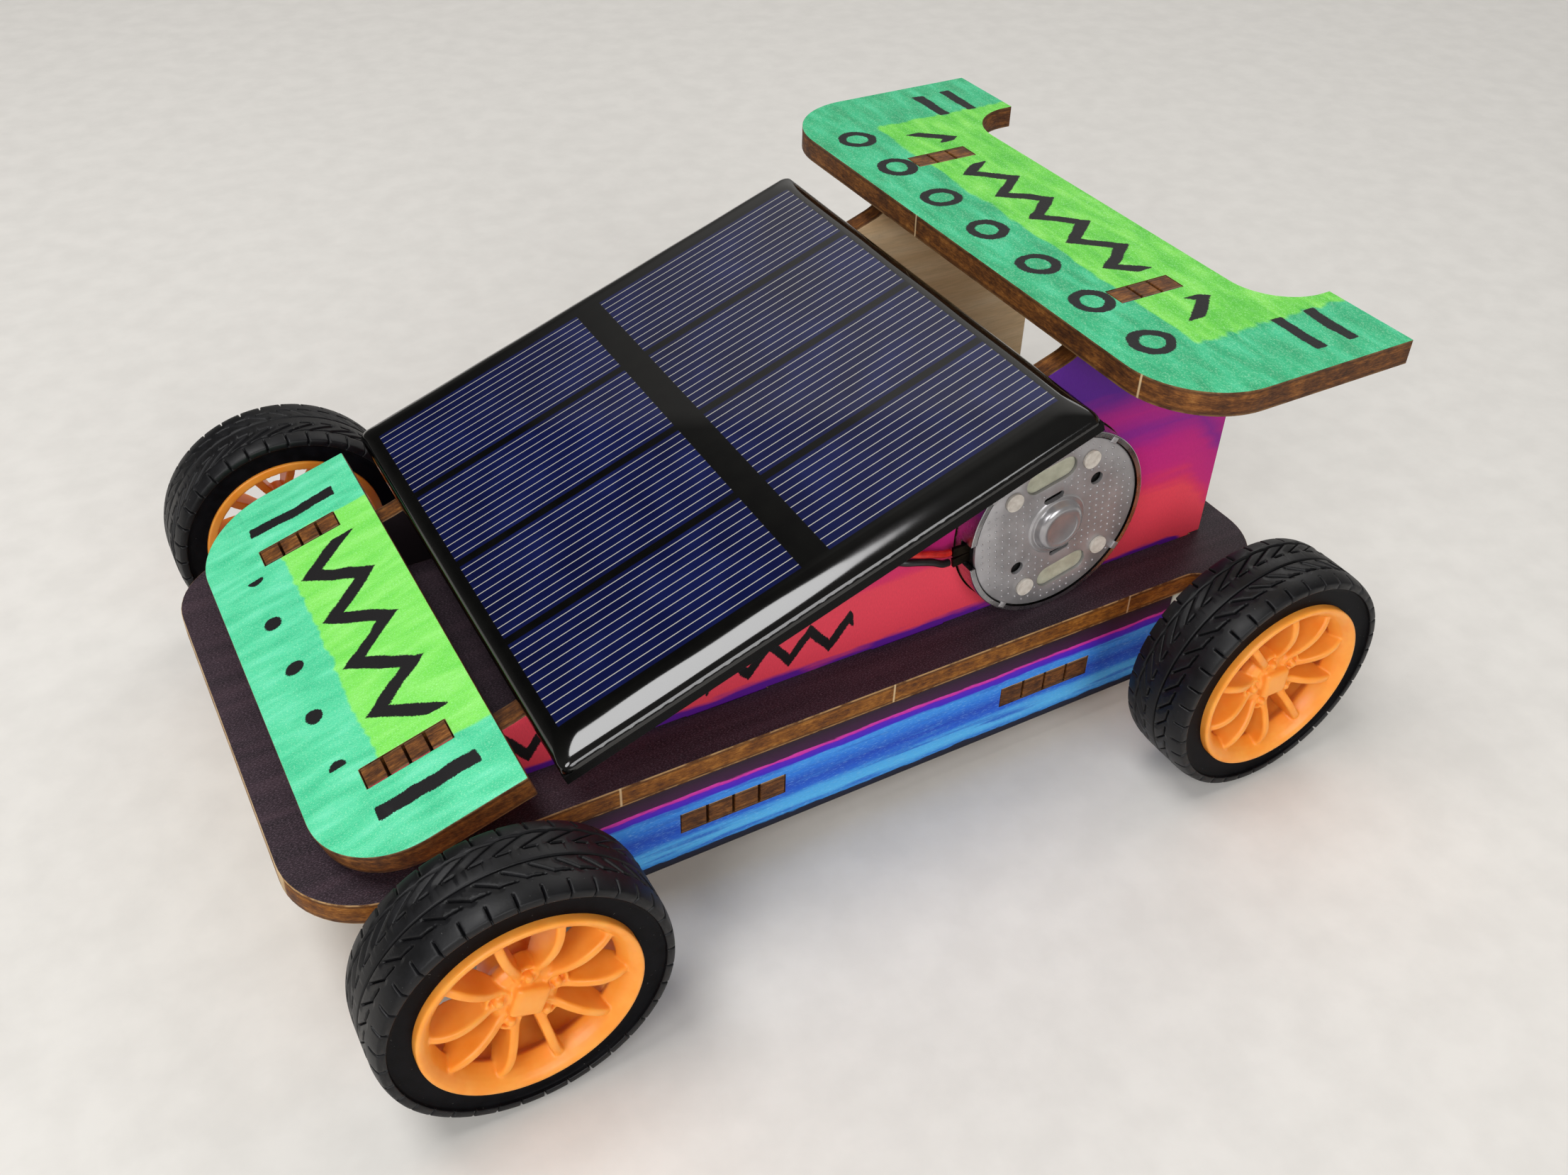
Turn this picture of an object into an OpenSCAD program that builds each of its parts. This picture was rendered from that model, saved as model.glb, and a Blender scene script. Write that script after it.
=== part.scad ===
// Solar model race car of laser-cut plywood. A deck stands on two sills that a tie plate joins. Two side
// panels carry the hood, the solar panel and the rear wing. A flat can motor turns the rear axle with a
// round belt. Millimetres, +X forward, +Y to the left, +Z up, with the four wheels standing on Z = 0.

/* [Plywood] */
// Thickness of every plywood piece
ply_t = 2.8; // [2.4:0.1:3.2]
// Clearance on each side of a tab in its slot
slot_gap = 0.1; // [0.05:0.01:0.2]
// Width of the slits that make the tabs springy
slit_w = 0.3; // [0.2:0.05:0.5]
// Depth of those slits
slit_l = 4; // [2.5:0.5:5]

/* [Deck and sills] */
// Distance between the two axles
wheelbase = 94; // [88:0.5:102]
// Reach of the deck ahead of the front axle
deck_nose = 17; // [16:0.5:22]
// Reach of the deck behind the rear axle
deck_tail = 13; // [12:0.5:15]
// Width of the deck between the wheels
deck_w = 55.7; // [54:0.1:58]
// Width of the deck's front and rear bumpers
bumper_w = 61.7; // [60:0.1:66]
// Corner radius of the bumpers
bumper_r = 9.8; // [5:0.2:11]
// Height of the sills under the deck
sill_h = 12.4; // [10:0.1:13.5]
// Reach of the sills past each axle
sill_reach = 5; // [4:0.5:8]
// Drop from the deck's underside to the top of the tie plate
tie_drop = 4.9; // [3.5:0.1:6]
// Length of the tie plate
tie_l = 60; // [58:0.5:62]
// Place of the tie plate's middle behind the middle of the axles
tie_back = 5; // [4:0.5:6]
// Length of the tie plate's tabs
tie_tab_l = 13; // [10:0.1:15]
// Distance between the tie plate's tabs
tie_tab_pitch = 43; // [40:0.5:45]

/* [Side panels] */
// Width over the outer faces of the two side panels
body_w = 42.7; // [42:0.1:46]
// Reach of the side panels ahead of the front axle
body_nose = 9; // [7:0.5:12]
// Reach of the side panels behind the rear axle
body_tail = 7.7; // [6.5:0.1:10]
// Height of the side panels where the hood meets the solar panel
shoulder_h = 7.8; // [7.2:0.1:10]
// Place of that joint behind the front axle
shoulder_back = 8.7; // [7.5:0.1:10]
// Step from the slope of the panel up to the wing
wing_step = 1.8; // [1.2:0.1:5]
// Radius of the curve below the wing
post_r = 5; // [3:0.5:6]
// Height above the deck where the tail edge starts to lean
tail_knee = 25; // [15:1:30]
// Length of the legs that lock the deck to the tie plate
leg_l = 10; // [7:0.5:12]
// Distance between the legs
leg_pitch = 24; // [22:0.5:26]

/* [Hood] */
// Slope of the hood in degrees
hood_angle = 17; // [14:0.5:18]
// Length of the hood along its slope
hood_l = 20.7; // [19:0.1:22]
// Width of the hood
hood_w = 62.5; // [58:0.5:66]
// Radius of the hood's front corners
hood_r = 10; // [5:0.5:15]
// Length of the tabs that hold the hood
hood_tab_l = 9.5; // [7:0.1:10]

/* [Rear wing] */
// Length of the wing along the car
wing_l = 30.3; // [28:0.1:33]
// Width of the wing
wing_w = 83.4; // [78:0.2:90]
// Radius of the wing's front corners
wing_r = 10; // [6:0.5:14]
// Length of the two ears behind the wing
ear_l = 8.2; // [7.5:0.1:9]
// Gap between the two ears
notch_w = 59.4; // [52:0.2:64]
// Radius in the corners between the ears
notch_r = 7; // [4:0.5:7]
// Length of the tabs that hold the wing
wing_tab_l = 8.4; // [7:0.1:10]

/* [Solar panel] */
// Slope of the solar panel in degrees
solar_angle = 20; // [18.5:0.5:23]
// Length of the panel along its slope
panel_l = 65; // [63:0.5:67]
// Width of the panel
panel_w = 66; // [60:0.5:68]
// Thickness of the panel's backing board
board_t = 1.2; // [0.8:0.1:1.6]
// Thickness of the clear resin over the board
resin_t = 1.8; // [1.2:0.1:2.4]
// Width of the resin's rounded edge
resin_edge = 2.6; // [1.5:0.1:2.7]
// Length of a solar cell along the slope
cell_l = 28.6; // [24:0.1:29]
// Width of a solar cell
cell_w = 13.5; // [12:0.1:13.9]
// Gap between the front and the rear row of cells
row_gap = 3.4; // [2:0.1:4]
// Gap between neighbouring cells
cell_gap = 1.1; // [0.6:0.1:1.5]
// Thickness of the foam tape under the panel
tape_t = 0.8; // [0.5:0.1:1.2]

/* [Motor and belt] */
// Diameter of the motor can
motor_d = 24.4; // [23.5:0.1:25]
// Length of the motor can
motor_l = 12.3; // [11.8:0.1:13]
// Distance of the motor ahead of the rear axle
motor_ahead = 19.4; // [18:0.1:20]
// Reach of the motor outside the left side panel
motor_proud = 3; // [2.4:0.1:3.6]
// Diameter of the motor shaft
shaft_d = 2; // [1.5:0.1:2.2]
// Pitch diameter of the pulley on the motor
motor_pulley_d = 5; // [4.8:0.1:7]
// Pitch diameter of the pulley on the rear axle
axle_pulley_d = 16; // [12:0.2:17]
// Diameter of the round belt
belt_d = 1.6; // [1.2:0.1:1.6]
// Diameter of the two motor leads
wire_d = 0.9; // [0.7:0.1:1]

/* [Wheels] */
// Diameter of the tyres
tyre_d = 30.5; // [29:0.1:33]
// Width of the tyres
tyre_w = 9.7; // [9:0.1:10.5]
// Diameter of the rims where the tyres sit
rim_d = 23; // [21:0.1:24]
// Overall width over the wheels
track_w = 92.2; // [92:0.1:98]
// Diameter of the axles
axle_d = 2; // [1.6:0.1:2.2]
// Outer diameter of the axle bushes
bush_d = 3; // [2.8:0.1:3.4]

/* [Hidden] */
$fn = 96;

// Small clearances: a shaft that turns, a pressed piece, a piece that only lies close
run_gap = 0.03;
press_gap = 0.02;
seat_gap = 0.05;
belt_gap = 0.15;
// Overshoot of cutters past the face that they cut
over = 1;
// Overlap of two shapes that join into one
joint = 0.01;

// Axles and deck. The car's box is centred on X = 0
axle_z = tyre_d/2;
front_reach = max(deck_nose, tyre_d/2);
rear_reach = max(deck_tail, tyre_d/2);
front_x = (wheelbase + rear_reach - front_reach)/2;
rear_x = front_x - wheelbase;
mid_x = (front_x + rear_x)/2;
deck_z = axle_z + bush_d/2 + seat_gap;
deck_top = deck_z + ply_t;
deck_front = front_x + deck_nose;
deck_rear = rear_x - deck_tail;
flare_r = (bumper_w - deck_w)/2;
sill_z = deck_z - sill_h;
sill_y = deck_w/2 - ply_t;
tie_x = mid_x - tie_back;
tie_z = deck_z - tie_drop - ply_t;
leg_wall = 2.4;
tie_slit_l = deck_w/2 - body_w/2 - slot_gap - leg_wall;

// Side panels: the joint of the two slopes, the post below the wing and the tail
body_y = body_w/2 - ply_t;
shoulder_x = front_x - shoulder_back;
shoulder_z = deck_top + shoulder_h;
nose_x = front_x + body_nose;
tail_x = rear_x - body_tail;
hood_start = 1.4;
hood_tab_in = 4.4;
hood_tab_start = hood_start + hood_tab_in;
panel_start = 1.5;
post_room = 7.6;
post_x = shoulder_x - (panel_start + panel_l + post_room)*cos(solar_angle);
post_line_z = shoulder_z + (shoulder_x - post_x)*tan(solar_angle);
wing_z = post_line_z + wing_step;
wing_top = wing_z + ply_t;
wing_lead = 5.1;
wing_front = post_x + wing_lead;
wing_rear = wing_front - wing_l;
wing_tab_back = 12.3;
wing_tab_x = wing_front - wing_tab_back;
leg_ahead = 2;
leg_x = mid_x + leg_ahead;
front_tab_l = 8;
front_tab_back = 3;
front_tab_x = front_x - front_tab_back;
rear_tab_l = 5;
rear_tab_back = 3.5;
rear_tab_x = rear_x - rear_tab_back;

// Motor: its outer face, its axis and the belt drive
motor_r = motor_d/2;
motor_x = rear_x + motor_ahead;
motor_z = deck_top + motor_r + seat_gap;
motor_y = body_w/2 + motor_proud;
motor_hole_gap = 0.15;
lead_hole_r = 2.5;
lead_hole_ahead = 22.3;
lead_hole_up = 1.6;
lead_hole_x = motor_x + lead_hole_ahead;
lead_hole_z = motor_z + lead_hole_up;
can_t = 0.8;
rim_lip = 0.15;
plate_t = 0.8;
plate_r = motor_r - can_t - seat_gap;
bell_t = 1;
bell_z = -rim_lip - plate_t - seat_gap;
inner_floor = -motor_l + can_t;
front_bush_wall = 1.7;
front_bush_d = shaft_d + 2*front_bush_wall;
front_bush_l = 2.2;
front_bush_proud = 0.8;
rear_bush_wall = 0.8;
rear_bush_d = shaft_d + 2*rear_bush_wall;
rear_bush_l = 1.3;
pulley_w = 4;
flange_h = 1.3;
shaft_reach = 7.4;
shaft_tip = 0.3;
shaft_head = 0.3;
shaft_end_y = motor_y - motor_l - shaft_reach;
belt_y = shaft_end_y + pulley_w/2 + shaft_tip;
belt_axle_r = axle_pulley_d/2;
belt_motor_r = motor_pulley_d/2;
belt_dx = motor_x - rear_x;
belt_dz = motor_z - axle_z;
belt_span = norm([belt_dx, belt_dz]);
belt_tilt = atan2(belt_dz, belt_dx);
belt_lean = asin((belt_axle_r - belt_motor_r)/belt_span);
belt_slot_w = pulley_w + 3;
belt_room_front = 6.5;
belt_room_rear = 1.2;
belt_slot_front = belt_axle_r + flange_h + belt_room_front;
belt_slot_rear = belt_axle_r + flange_h + belt_room_rear;
belt_sides = 10;
axle_steps = 40;
motor_steps = 16;

// Features of the motor's end plate, by angle in the plate and distance from its centre
plate_turn = 76;
window_r = 7.6;
window_l = 7.4;
window_w = 2.8;
rivet_r = 8.7;
rivet_spread = 38;
rivet_d = 2.3;
vent_r = 6.9;
vent_turn = 60;
vent_d = 1.7;
slit_ring_r = 5.2;
boss_r = 4.2;
boss_top_r = 2.6;
boss_h = 1.2;
boss_foot_h = 0.3;
boss_wall = 0.4;
plate_slit_l = 2.6;
plate_slit_w = 0.8;
rivet_shoulder = 0.45;
rivet_stem_d = rivet_d - 2*rivet_shoulder;
rivet_head_h = 0.35;
terminal_mid = -4.5;
terminal_turn = 3.2;
terminal_w = 1.2;
terminal_t = 0.4;
terminal_z = bell_z - bell_t/2;
terminal_reach = 1.5;
// Gap in the can's wall that both terminals pass through
terminal_gap_w = 2*motor_r*sin(terminal_turn) + terminal_w + 0.8;
terminal_gap_l = 4;

// Armature inside the can
core_z = -10.2;
core_h = 6;
core_in = 3.6;
core_r = motor_r - core_in;
shoe_t = 1.3;
neck_w = 2.6;
hub_core_r = 2.8;
magnet_t = 2.2;
magnet_h = 7;
winding_t = 1.5;
winding_over = 0.9;
coil_gap = 0.5;
coil_start = hub_core_r + coil_gap;
commutator_r = 2.1;
commutator_h = 1.8;
commutator_in = 0.6;
commutator_gap = 0.6;
brush_gap = 0.15;

// Wheels: the rim stands proud of the tyre's side, and its hub reaches in to the axle bush
lip_proud = 0.4;
wheel_in = -(lip_proud + tyre_w);
rim_wall = 1.1;
rim_in_r = rim_d/2 - seat_gap - rim_wall;
hub_r = 2.4;
hub_disc_r = 4.9;
hub_recess = 1.9;
spoke_recess = 0.6;
spoke_t = 0.85;
spoke_h = 4.2;
spoke_bend = 8;
spoke_root_r = 3.6;
blade_join = 0.3;
lip_in = 0.3;
bush_in = 2.2;
bush_out = 3.4;
hub_gap = 0.3;
hub_in = -(track_w/2 - deck_w/2 - bush_out - hub_gap);
axle_sink = 1.3;
axle_recess = hub_recess + axle_sink;
axle_l = track_w - 2*axle_recess;
axle_tip = 0.2;
lug_r = 0.72;
lug_ring_r = 3;
lug_h = 1.9;
cap_w = 3.7;
cap_h = 2.3;
hub_seat = 1;
front_turn = -23;
rear_turn = 0;
groove_w = 0.55;
groove_d = 0.55;
groove_at = [0.2, 0.55];
crown_at = 0.32;
bead_step = 0.5;
shoulder_drop = 0.4;

// Solar cells, and the foam tape and pads under the solar panel
cell_t = 0.3;
tape_inset = 3;
tape_w = ply_t - 0.4;
pad_r = 1.6;
pad_h = 0.35;
pad_u = -40.3;
pad_y = [14, 8];

// Route points of the two leads: from the motor's terminals through the hole in the side panel, counted
// from the hole's outer centre, and then up to the pads, counted from each pad's centre
lead_hole = [lead_hole_x, body_w/2, lead_hole_z];
pad_x = shoulder_x + pad_u*cos(solar_angle);
pad_z = shoulder_z - pad_u*sin(solar_angle);
red_start = [[-8.425, 1.25, -1.95], [-7.425, 1.45, -1.7], [-5.825, 1.65, -1], [-3.825, 1.75, -0.25],
    [-2.025, 1.45, 0.35], [-0.825, 0.45, 0.65], [-0.025, -1.35, 0.95], [0.775, -3.35, 1.25],
    [1.975, -5.15, 1.95]];
red_end = [[-2.355, 0.9, -4.583], [-1.355, 0.2, -3.183], [-0.555, 0, -1.583], [0.145, 0, 0.317]];
black_start = [[-8.425, 1.25, -3.4], [-7.425, 1.45, -3.1], [-5.825, 1.65, -2.15], [-3.825, 1.75, -1.35],
    [-2.025, 1.45, -0.95], [-0.825, 0.45, -0.75], [-0.025, -1.35, -0.55], [0.575, -3.35, -0.25],
    [1.375, -5.75, 0.35], [2.375, -8.55, 1.35]];
black_end = [[-2.155, 2.2, -4.783], [-1.155, 0.6, -2.983], [-0.555, 0, -1.583], [0.145, 0, 0.317]];
red_route = concat([for (p = red_start) lead_hole + p],
    [for (p = red_end) [pad_x, pad_y[0], pad_z] + p]);
black_route = concat([for (p = black_start) lead_hole + p],
    [for (p = black_end) [pad_x, pad_y[1], pad_z] + p]);
wire_sides = 8;

// Places a drawing of X and Z as a plate that starts at y and is t thick
module upright(y, t) {
    translate([0, y + t, 0])
        rotate([90, 0, 0])
            linear_extrude(t) children();
}

// Places a drawing of X and Y as a level plate that starts at z
module level(z, t) {
    translate([0, 0, z])
        linear_extrude(t) children();
}

// Frame of a slope that leaves the side panels' joint, +X down the slope and +Z square to it
module on_slope(angle) {
    translate([shoulder_x, 0, shoulder_z])
        rotate([0, angle, 0]) children();
}

// Rectangle from x = 0 to l, centred on y = 0, with both corners at x = l rounded
module round_front(l, w, r) {
    translate([0, -w/2]) square([l - r, w]);
    translate([l - r - joint, -w/2 + r]) square([r + joint, w - 2*r]);
    for (s = [-1, 1])
        translate([l - r, s*(w/2 - r)]) circle(r);
}

// Rectangle that is centred in y and starts at x
module bar(x, l, w) {
    translate([x, -w/2]) square([l, w]);
}

// Slits that split a tab of length l into n fingers, cut down from y = 0 to a depth
module slits(l, n, depth = slit_l) {
    for (i = [1 : n - 1])
        translate([l*i/n - slit_w/2, -depth]) square([slit_w, depth + over]);
}

// Draws a shape on the left side and again on the right
module both_sides() {
    children();
    mirror([0, 1]) children();
}

// Slot in a level plate for an upright side panel's tab, at x with length l
module panel_slot(x, l) {
    both_sides()
        translate([x - l/2 - slot_gap, body_y - slot_gap]) square([l + 2*slot_gap, ply_t + 2*slot_gap]);
}

// Deck. A bumper starts at x = 0 with a concave flare from the deck's side and has rounded outer corners
module bumper(l) {
    difference() {
        round_front(l, bumper_w, bumper_r);
        bar(-2*bumper_r, 2*bumper_r, bumper_w + 2*over);
        for (s = [-1, 1])
            translate([0, s*bumper_w/2]) circle(flare_r);
    }
}

module deck_outline() {
    difference() {
        union() {
            bar(rear_x - over, wheelbase + 2*over, deck_w);
            translate([front_x, 0]) bumper(deck_front - front_x);
            translate([rear_x, 0]) mirror([1, 0]) bumper(rear_x - deck_rear);
        }
        panel_slot(leg_x - leg_pitch/2, leg_l);
        panel_slot(leg_x + leg_pitch/2, leg_l);
        panel_slot(front_tab_x, front_tab_l);
        panel_slot(rear_tab_x, rear_tab_l);
        translate([rear_x - belt_slot_rear, belt_y - belt_slot_w/2])
            square([belt_slot_rear + belt_slot_front, belt_slot_w]);
    }
}

module deck_plate() {
    color("#3a2a33")
        level(deck_z, ply_t) deck_outline();
}

// Sills: a notch under the deck at each axle holds a bush, and two slots hold the tie plate's tabs
module sill_outline() {
    sill_l = wheelbase + 2*sill_reach;
    corner = 4;
    difference() {
        union() {
            translate([rear_x - sill_reach, sill_z + corner]) square([sill_l, sill_h - corner]);
            translate([rear_x - sill_reach + corner, sill_z]) square([sill_l - 2*corner, sill_h]);
            for (x = [rear_x - sill_reach + corner, front_x + sill_reach - corner])
                translate([x, sill_z + corner]) circle(corner);
        }
        for (x = [rear_x, front_x]) {
            translate([x, axle_z]) circle(bush_d/2 + seat_gap);
            translate([x - bush_d/2 - seat_gap, axle_z]) square([bush_d + 2*seat_gap, bush_d]);
        }
        for (s = [-1, 1])
            translate([tie_x + s*tie_tab_pitch/2 - tie_tab_l/2 - slot_gap, tie_z - slot_gap])
                square([tie_tab_l + 2*slot_gap, ply_t + 2*slot_gap]);
    }
}

module left_sill() {
    color("#2f7fd0")
        upright(sill_y, ply_t) sill_outline();
}

module right_sill() {
    color("#2f7fd0")
        upright(-sill_y - ply_t, ply_t) sill_outline();
}

// Tie plate between the sills, with four split tabs and slots for the side panels' legs
module tie_plate() {
    tie_fingers = 4;
    color("#c79a63")
        level(tie_z, ply_t)
            difference() {
                union() {
                    bar(tie_x - tie_l/2, tie_l, 2*sill_y - 2*seat_gap);
                    for (s = [-1, 1])
                        bar(tie_x + s*tie_tab_pitch/2 - tie_tab_l/2, tie_tab_l, deck_w);
                }
                panel_slot(leg_x - leg_pitch/2, leg_l);
                panel_slot(leg_x + leg_pitch/2, leg_l);
                for (s = [-1, 1])
                    both_sides()
                        translate([tie_x + s*tie_tab_pitch/2 - tie_tab_l/2, deck_w/2])
                            slits(tie_tab_l, tie_fingers, tie_slit_l);
            }
}

// Side panels
module side_outline() {
    hood_drop = (nose_x - shoulder_x)*tan(hood_angle);
    polygon([[tail_x, deck_top], [nose_x, deck_top], [nose_x, shoulder_z - hood_drop],
        [shoulder_x, shoulder_z], [post_x, post_line_z], [post_x, wing_z],
        [wing_rear + ear_l + slot_gap, wing_z], [tail_x, deck_top + tail_knee]]);
}

// Concave curve between the slope under the solar panel and the post below the wing
module post_curve() {
    center_x = post_x + post_r;
    center_z = shoulder_z + (shoulder_x - center_x)*tan(solar_angle) + post_r/cos(solar_angle);
    intersection() {
        difference() {
            polygon([[post_x - over, post_line_z - over], [center_x - post_r*sin(solar_angle) + joint,
                center_z - post_r*cos(solar_angle) - over], [center_x - post_r*sin(solar_angle),
                center_z - post_r*cos(solar_angle)], [center_x, center_z], [post_x - over, center_z]]);
            translate([center_x, center_z]) circle(post_r);
        }
        translate([post_x - over, deck_top]) square([3*post_r, wing_z - deck_top]);
    }
}

module side_tabs() {
    hood_fingers = 4;
    wing_fingers = 3;
    tab_root = 1.5;
    difference() {
        union() {
            translate([shoulder_x, shoulder_z])
                rotate(-hood_angle)
                    translate([hood_tab_start, -tab_root]) square([hood_tab_l, ply_t + tab_root]);
            translate([wing_tab_x - wing_tab_l/2, wing_z - tab_root])
                square([wing_tab_l, ply_t + tab_root]);
            for (s = [-1, 1])
                translate([leg_x + s*leg_pitch/2 - leg_l/2, tie_z])
                    square([leg_l, deck_top - tie_z + tab_root]);
            translate([front_tab_x - front_tab_l/2, deck_z]) square([front_tab_l, ply_t + tab_root]);
            translate([rear_tab_x - rear_tab_l/2, deck_z]) square([rear_tab_l, ply_t + tab_root]);
        }
        translate([shoulder_x, shoulder_z])
            rotate(-hood_angle)
                translate([hood_tab_start, ply_t]) slits(hood_tab_l, hood_fingers);
        translate([wing_tab_x - wing_tab_l/2, wing_top]) slits(wing_tab_l, wing_fingers);
    }
}

module side_panel() {
    side_outline();
    post_curve();
    side_tabs();
}

module left_side_panel() {
    color("#d22a58")
        difference() {
            upright(body_y, ply_t) side_panel();
            translate([motor_x, body_y - over, motor_z])
                rotate([-90, 0, 0]) cylinder(r = motor_r + motor_hole_gap, h = ply_t + 2*over);
            translate([lead_hole_x, body_y - over, lead_hole_z])
                rotate([-90, 0, 0]) cylinder(r = lead_hole_r, h = ply_t + 2*over);
        }
}

module right_side_panel() {
    color("#d22a58")
        upright(-body_y - ply_t, ply_t) side_panel();
}

// Hood on the front slope
module hood_plate() {
    color("#54d98f")
        on_slope(hood_angle)
            level(0, ply_t)
                difference() {
                    translate([hood_start, 0]) round_front(hood_l, hood_w, hood_r);
                    panel_slot(hood_tab_start + hood_tab_l/2, hood_tab_l);
                }
}

// Rear wing with its two ears
module rear_wing() {
    color("#54d98f")
        level(wing_z, ply_t)
            difference() {
                translate([wing_rear, 0]) round_front(wing_l, wing_w, wing_r);
                translate([wing_rear - over, 0]) round_front(ear_l + over, notch_w, notch_r);
                panel_slot(wing_tab_x, wing_tab_l);
            }
}

// Solar panel: a board, two rows of cells and a cast resin cover, on two strips of foam tape
module on_panel() {
    on_slope(solar_angle)
        translate([-panel_start - panel_l/2, 0, tape_t]) children();
}

module cell_grid(grow, h) {
    columns = 4;
    for (row = [-1, 1])
        for (i = [0 : columns - 1])
            translate([row*(cell_l + row_gap)/2, (i - (columns - 1)/2)*(cell_w + cell_gap), h/2])
                cube([cell_l + 2*grow, cell_w + 2*grow, h], center = true);
}

module panel_board() {
    color("#15171b")
        on_panel()
            translate([-panel_l/2, -panel_w/2, 0]) cube([panel_l, panel_w, board_t]);
}

module solar_cells() {
    color("#1d2b66")
        on_panel()
            translate([0, 0, board_t]) cell_grid(0, cell_t);
}

module panel_resin() {
    edge_steps = 4;
    color("#10131c", 0.6)
        on_panel()
            translate([0, 0, board_t])
                difference() {
                    hull()
                        for (i = [0 : edge_steps]) {
                            turn = 90*i/edge_steps;
                            inset = resin_edge*(1 - cos(turn));
                            height = max(0.05, resin_t*sin(turn));
                            translate([-panel_l/2 + inset, -panel_w/2 + inset, 0])
                                cube([panel_l - 2*inset, panel_w - 2*inset, height]);
                        }
                    translate([0, 0, -seat_gap]) cell_grid(seat_gap, cell_t + 2*seat_gap);
                }
}

module panel_tape() {
    color("#e8e4d8")
        on_slope(solar_angle)
            for (s = [-1, 1])
                translate([-panel_start - panel_l + tape_inset, s*(body_y + ply_t/2) - tape_w/2, 0])
                    cube([panel_l - 2*tape_inset, tape_w, tape_t]);
}

module panel_pads() {
    color("#c9ccd0")
        on_slope(solar_angle)
            for (y = pad_y)
                translate([pad_u, y, tape_t - pad_h]) cylinder(r = pad_r, h = pad_h);
}

// Motor, drawn with its outer face at z = 0 and the shaft along -z
module on_motor() {
    translate([motor_x, motor_y, motor_z])
        rotate([-90, 0, 0]) children();
}

// Turns to an angle that is counted in the plate as seen with X and Z, then moves out by r
module at_angle(angle, r) {
    rotate([0, 0, -angle])
        translate([r, 0, 0]) children();
}

module stadium(l, w, h) {
    linear_extrude(h) {
        square([l - w, w], center = true);
        for (s = [-1, 1])
            translate([s*(l - w)/2, 0]) circle(w/2);
    }
}

module motor_windows(h) {
    for (turn = [plate_turn, plate_turn + 180]) {
        at_angle(turn, window_r) rotate([0, 0, 90]) stadium(window_l, window_w, h);
        at_angle(turn, slit_ring_r) rotate([0, 0, 90]) stadium(plate_slit_l, plate_slit_w, h);
        at_angle(turn + vent_turn, vent_r) cylinder(d = vent_d, h = h);
    }
}

module motor_rivet_places() {
    for (turn = [plate_turn, plate_turn + 180])
        for (s = [-1, 1])
            at_angle(turn + s*rivet_spread, rivet_r) children();
}

module motor_can() {
    color("#b9bcc0")
        on_motor()
            difference() {
                translate([0, 0, -motor_l]) cylinder(r = motor_r, h = motor_l);
                translate([0, 0, inner_floor]) cylinder(r = motor_r - can_t, h = motor_l);
                translate([0, 0, -motor_l - over]) cylinder(d = front_bush_d, h = 2*over + can_t);
                at_angle(terminal_mid, motor_r - terminal_gap_l/2)
                    translate([0, -terminal_gap_w/2, terminal_z - terminal_t])
                        cube([terminal_gap_l, terminal_gap_w, terminal_gap_l]);
            }
}

module motor_end_plate() {
    color("#a9a6a4")
        on_motor()
            translate([0, 0, -rim_lip - plate_t])
                difference() {
                    union() {
                        cylinder(r = plate_r, h = plate_t);
                        cylinder(r = boss_r, h = plate_t + boss_foot_h);
                        rotate_extrude()
                            difference() {
                                square([boss_r - boss_wall, plate_t + boss_h]);
                                translate([boss_r - boss_wall, plate_t + boss_h])
                                    circle(boss_r - boss_wall - boss_top_r);
                            }
                    }
                    translate([0, 0, -over]) motor_windows(plate_t + 2*over);
                    translate([0, 0, -over]) cylinder(d = rear_bush_d, h = rear_bush_l + over + seat_gap);
                    translate([0, 0, -over])
                        motor_rivet_places() cylinder(d = rivet_stem_d + 2*seat_gap, h = plate_t + 2*over);
                }
}

module motor_rivets() {
    color("#e6e4de")
        on_motor()
            motor_rivet_places() {
                translate([0, 0, -rim_lip - plate_t]) cylinder(d = rivet_stem_d, h = plate_t + press_gap);
                translate([0, 0, -rim_lip + press_gap]) cylinder(d = rivet_d, h = rivet_head_h);
            }
}

module motor_end_bell() {
    color("#e6e4de")
        on_motor()
            translate([0, 0, bell_z - bell_t])
                difference() {
                    cylinder(r = plate_r - 0.1, h = bell_t);
                    translate([0, 0, -over]) cylinder(r = commutator_r + commutator_gap, h = bell_t + 2*over);
                }
}

module motor_magnet() {
    color("#4a4a4c")
        on_motor()
            translate([0, 0, inner_floor + 0.4])
                difference() {
                    cylinder(r = motor_r - can_t - seat_gap, h = magnet_h);
                    translate([0, 0, -over]) cylinder(r = motor_r - can_t - magnet_t, h = magnet_h + 2*over);
                }
}

module bush(outer_d, bore_d, h) {
    difference() {
        cylinder(d = outer_d, h = h);
        translate([0, 0, -over]) cylinder(d = bore_d, h = h + 2*over);
    }
}

module motor_bushes() {
    bore_d = shaft_d + 2*run_gap;
    color("#b08d4f")
        on_motor() {
            translate([0, 0, -motor_l - front_bush_proud])
                bush(front_bush_d - 2*seat_gap, bore_d, front_bush_l);
            translate([0, 0, -rim_lip - plate_t])
                bush(rear_bush_d - 2*seat_gap, bore_d, rear_bush_l);
        }
}

module motor_brushes() {
    brush_l = 4;
    brush_h = 0.9;
    brush_w = 1;
    color("#8c6a3a")
        on_motor()
            for (turn = [0, 180])
                rotate([0, 0, turn])
                    translate([commutator_r + brush_gap, -brush_w/2, bell_z - bell_t - brush_h])
                        cube([brush_l, brush_w, brush_h]);
}

module motor_terminals() {
    color("#d3b46a")
        on_motor()
            for (s = [-1, 1])
                at_angle(terminal_mid + s*terminal_turn, plate_r - 0.05)
                    translate([0, -terminal_w/2, terminal_z - terminal_t/2])
                        cube([can_t + terminal_reach, terminal_w, terminal_t]);
}

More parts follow.
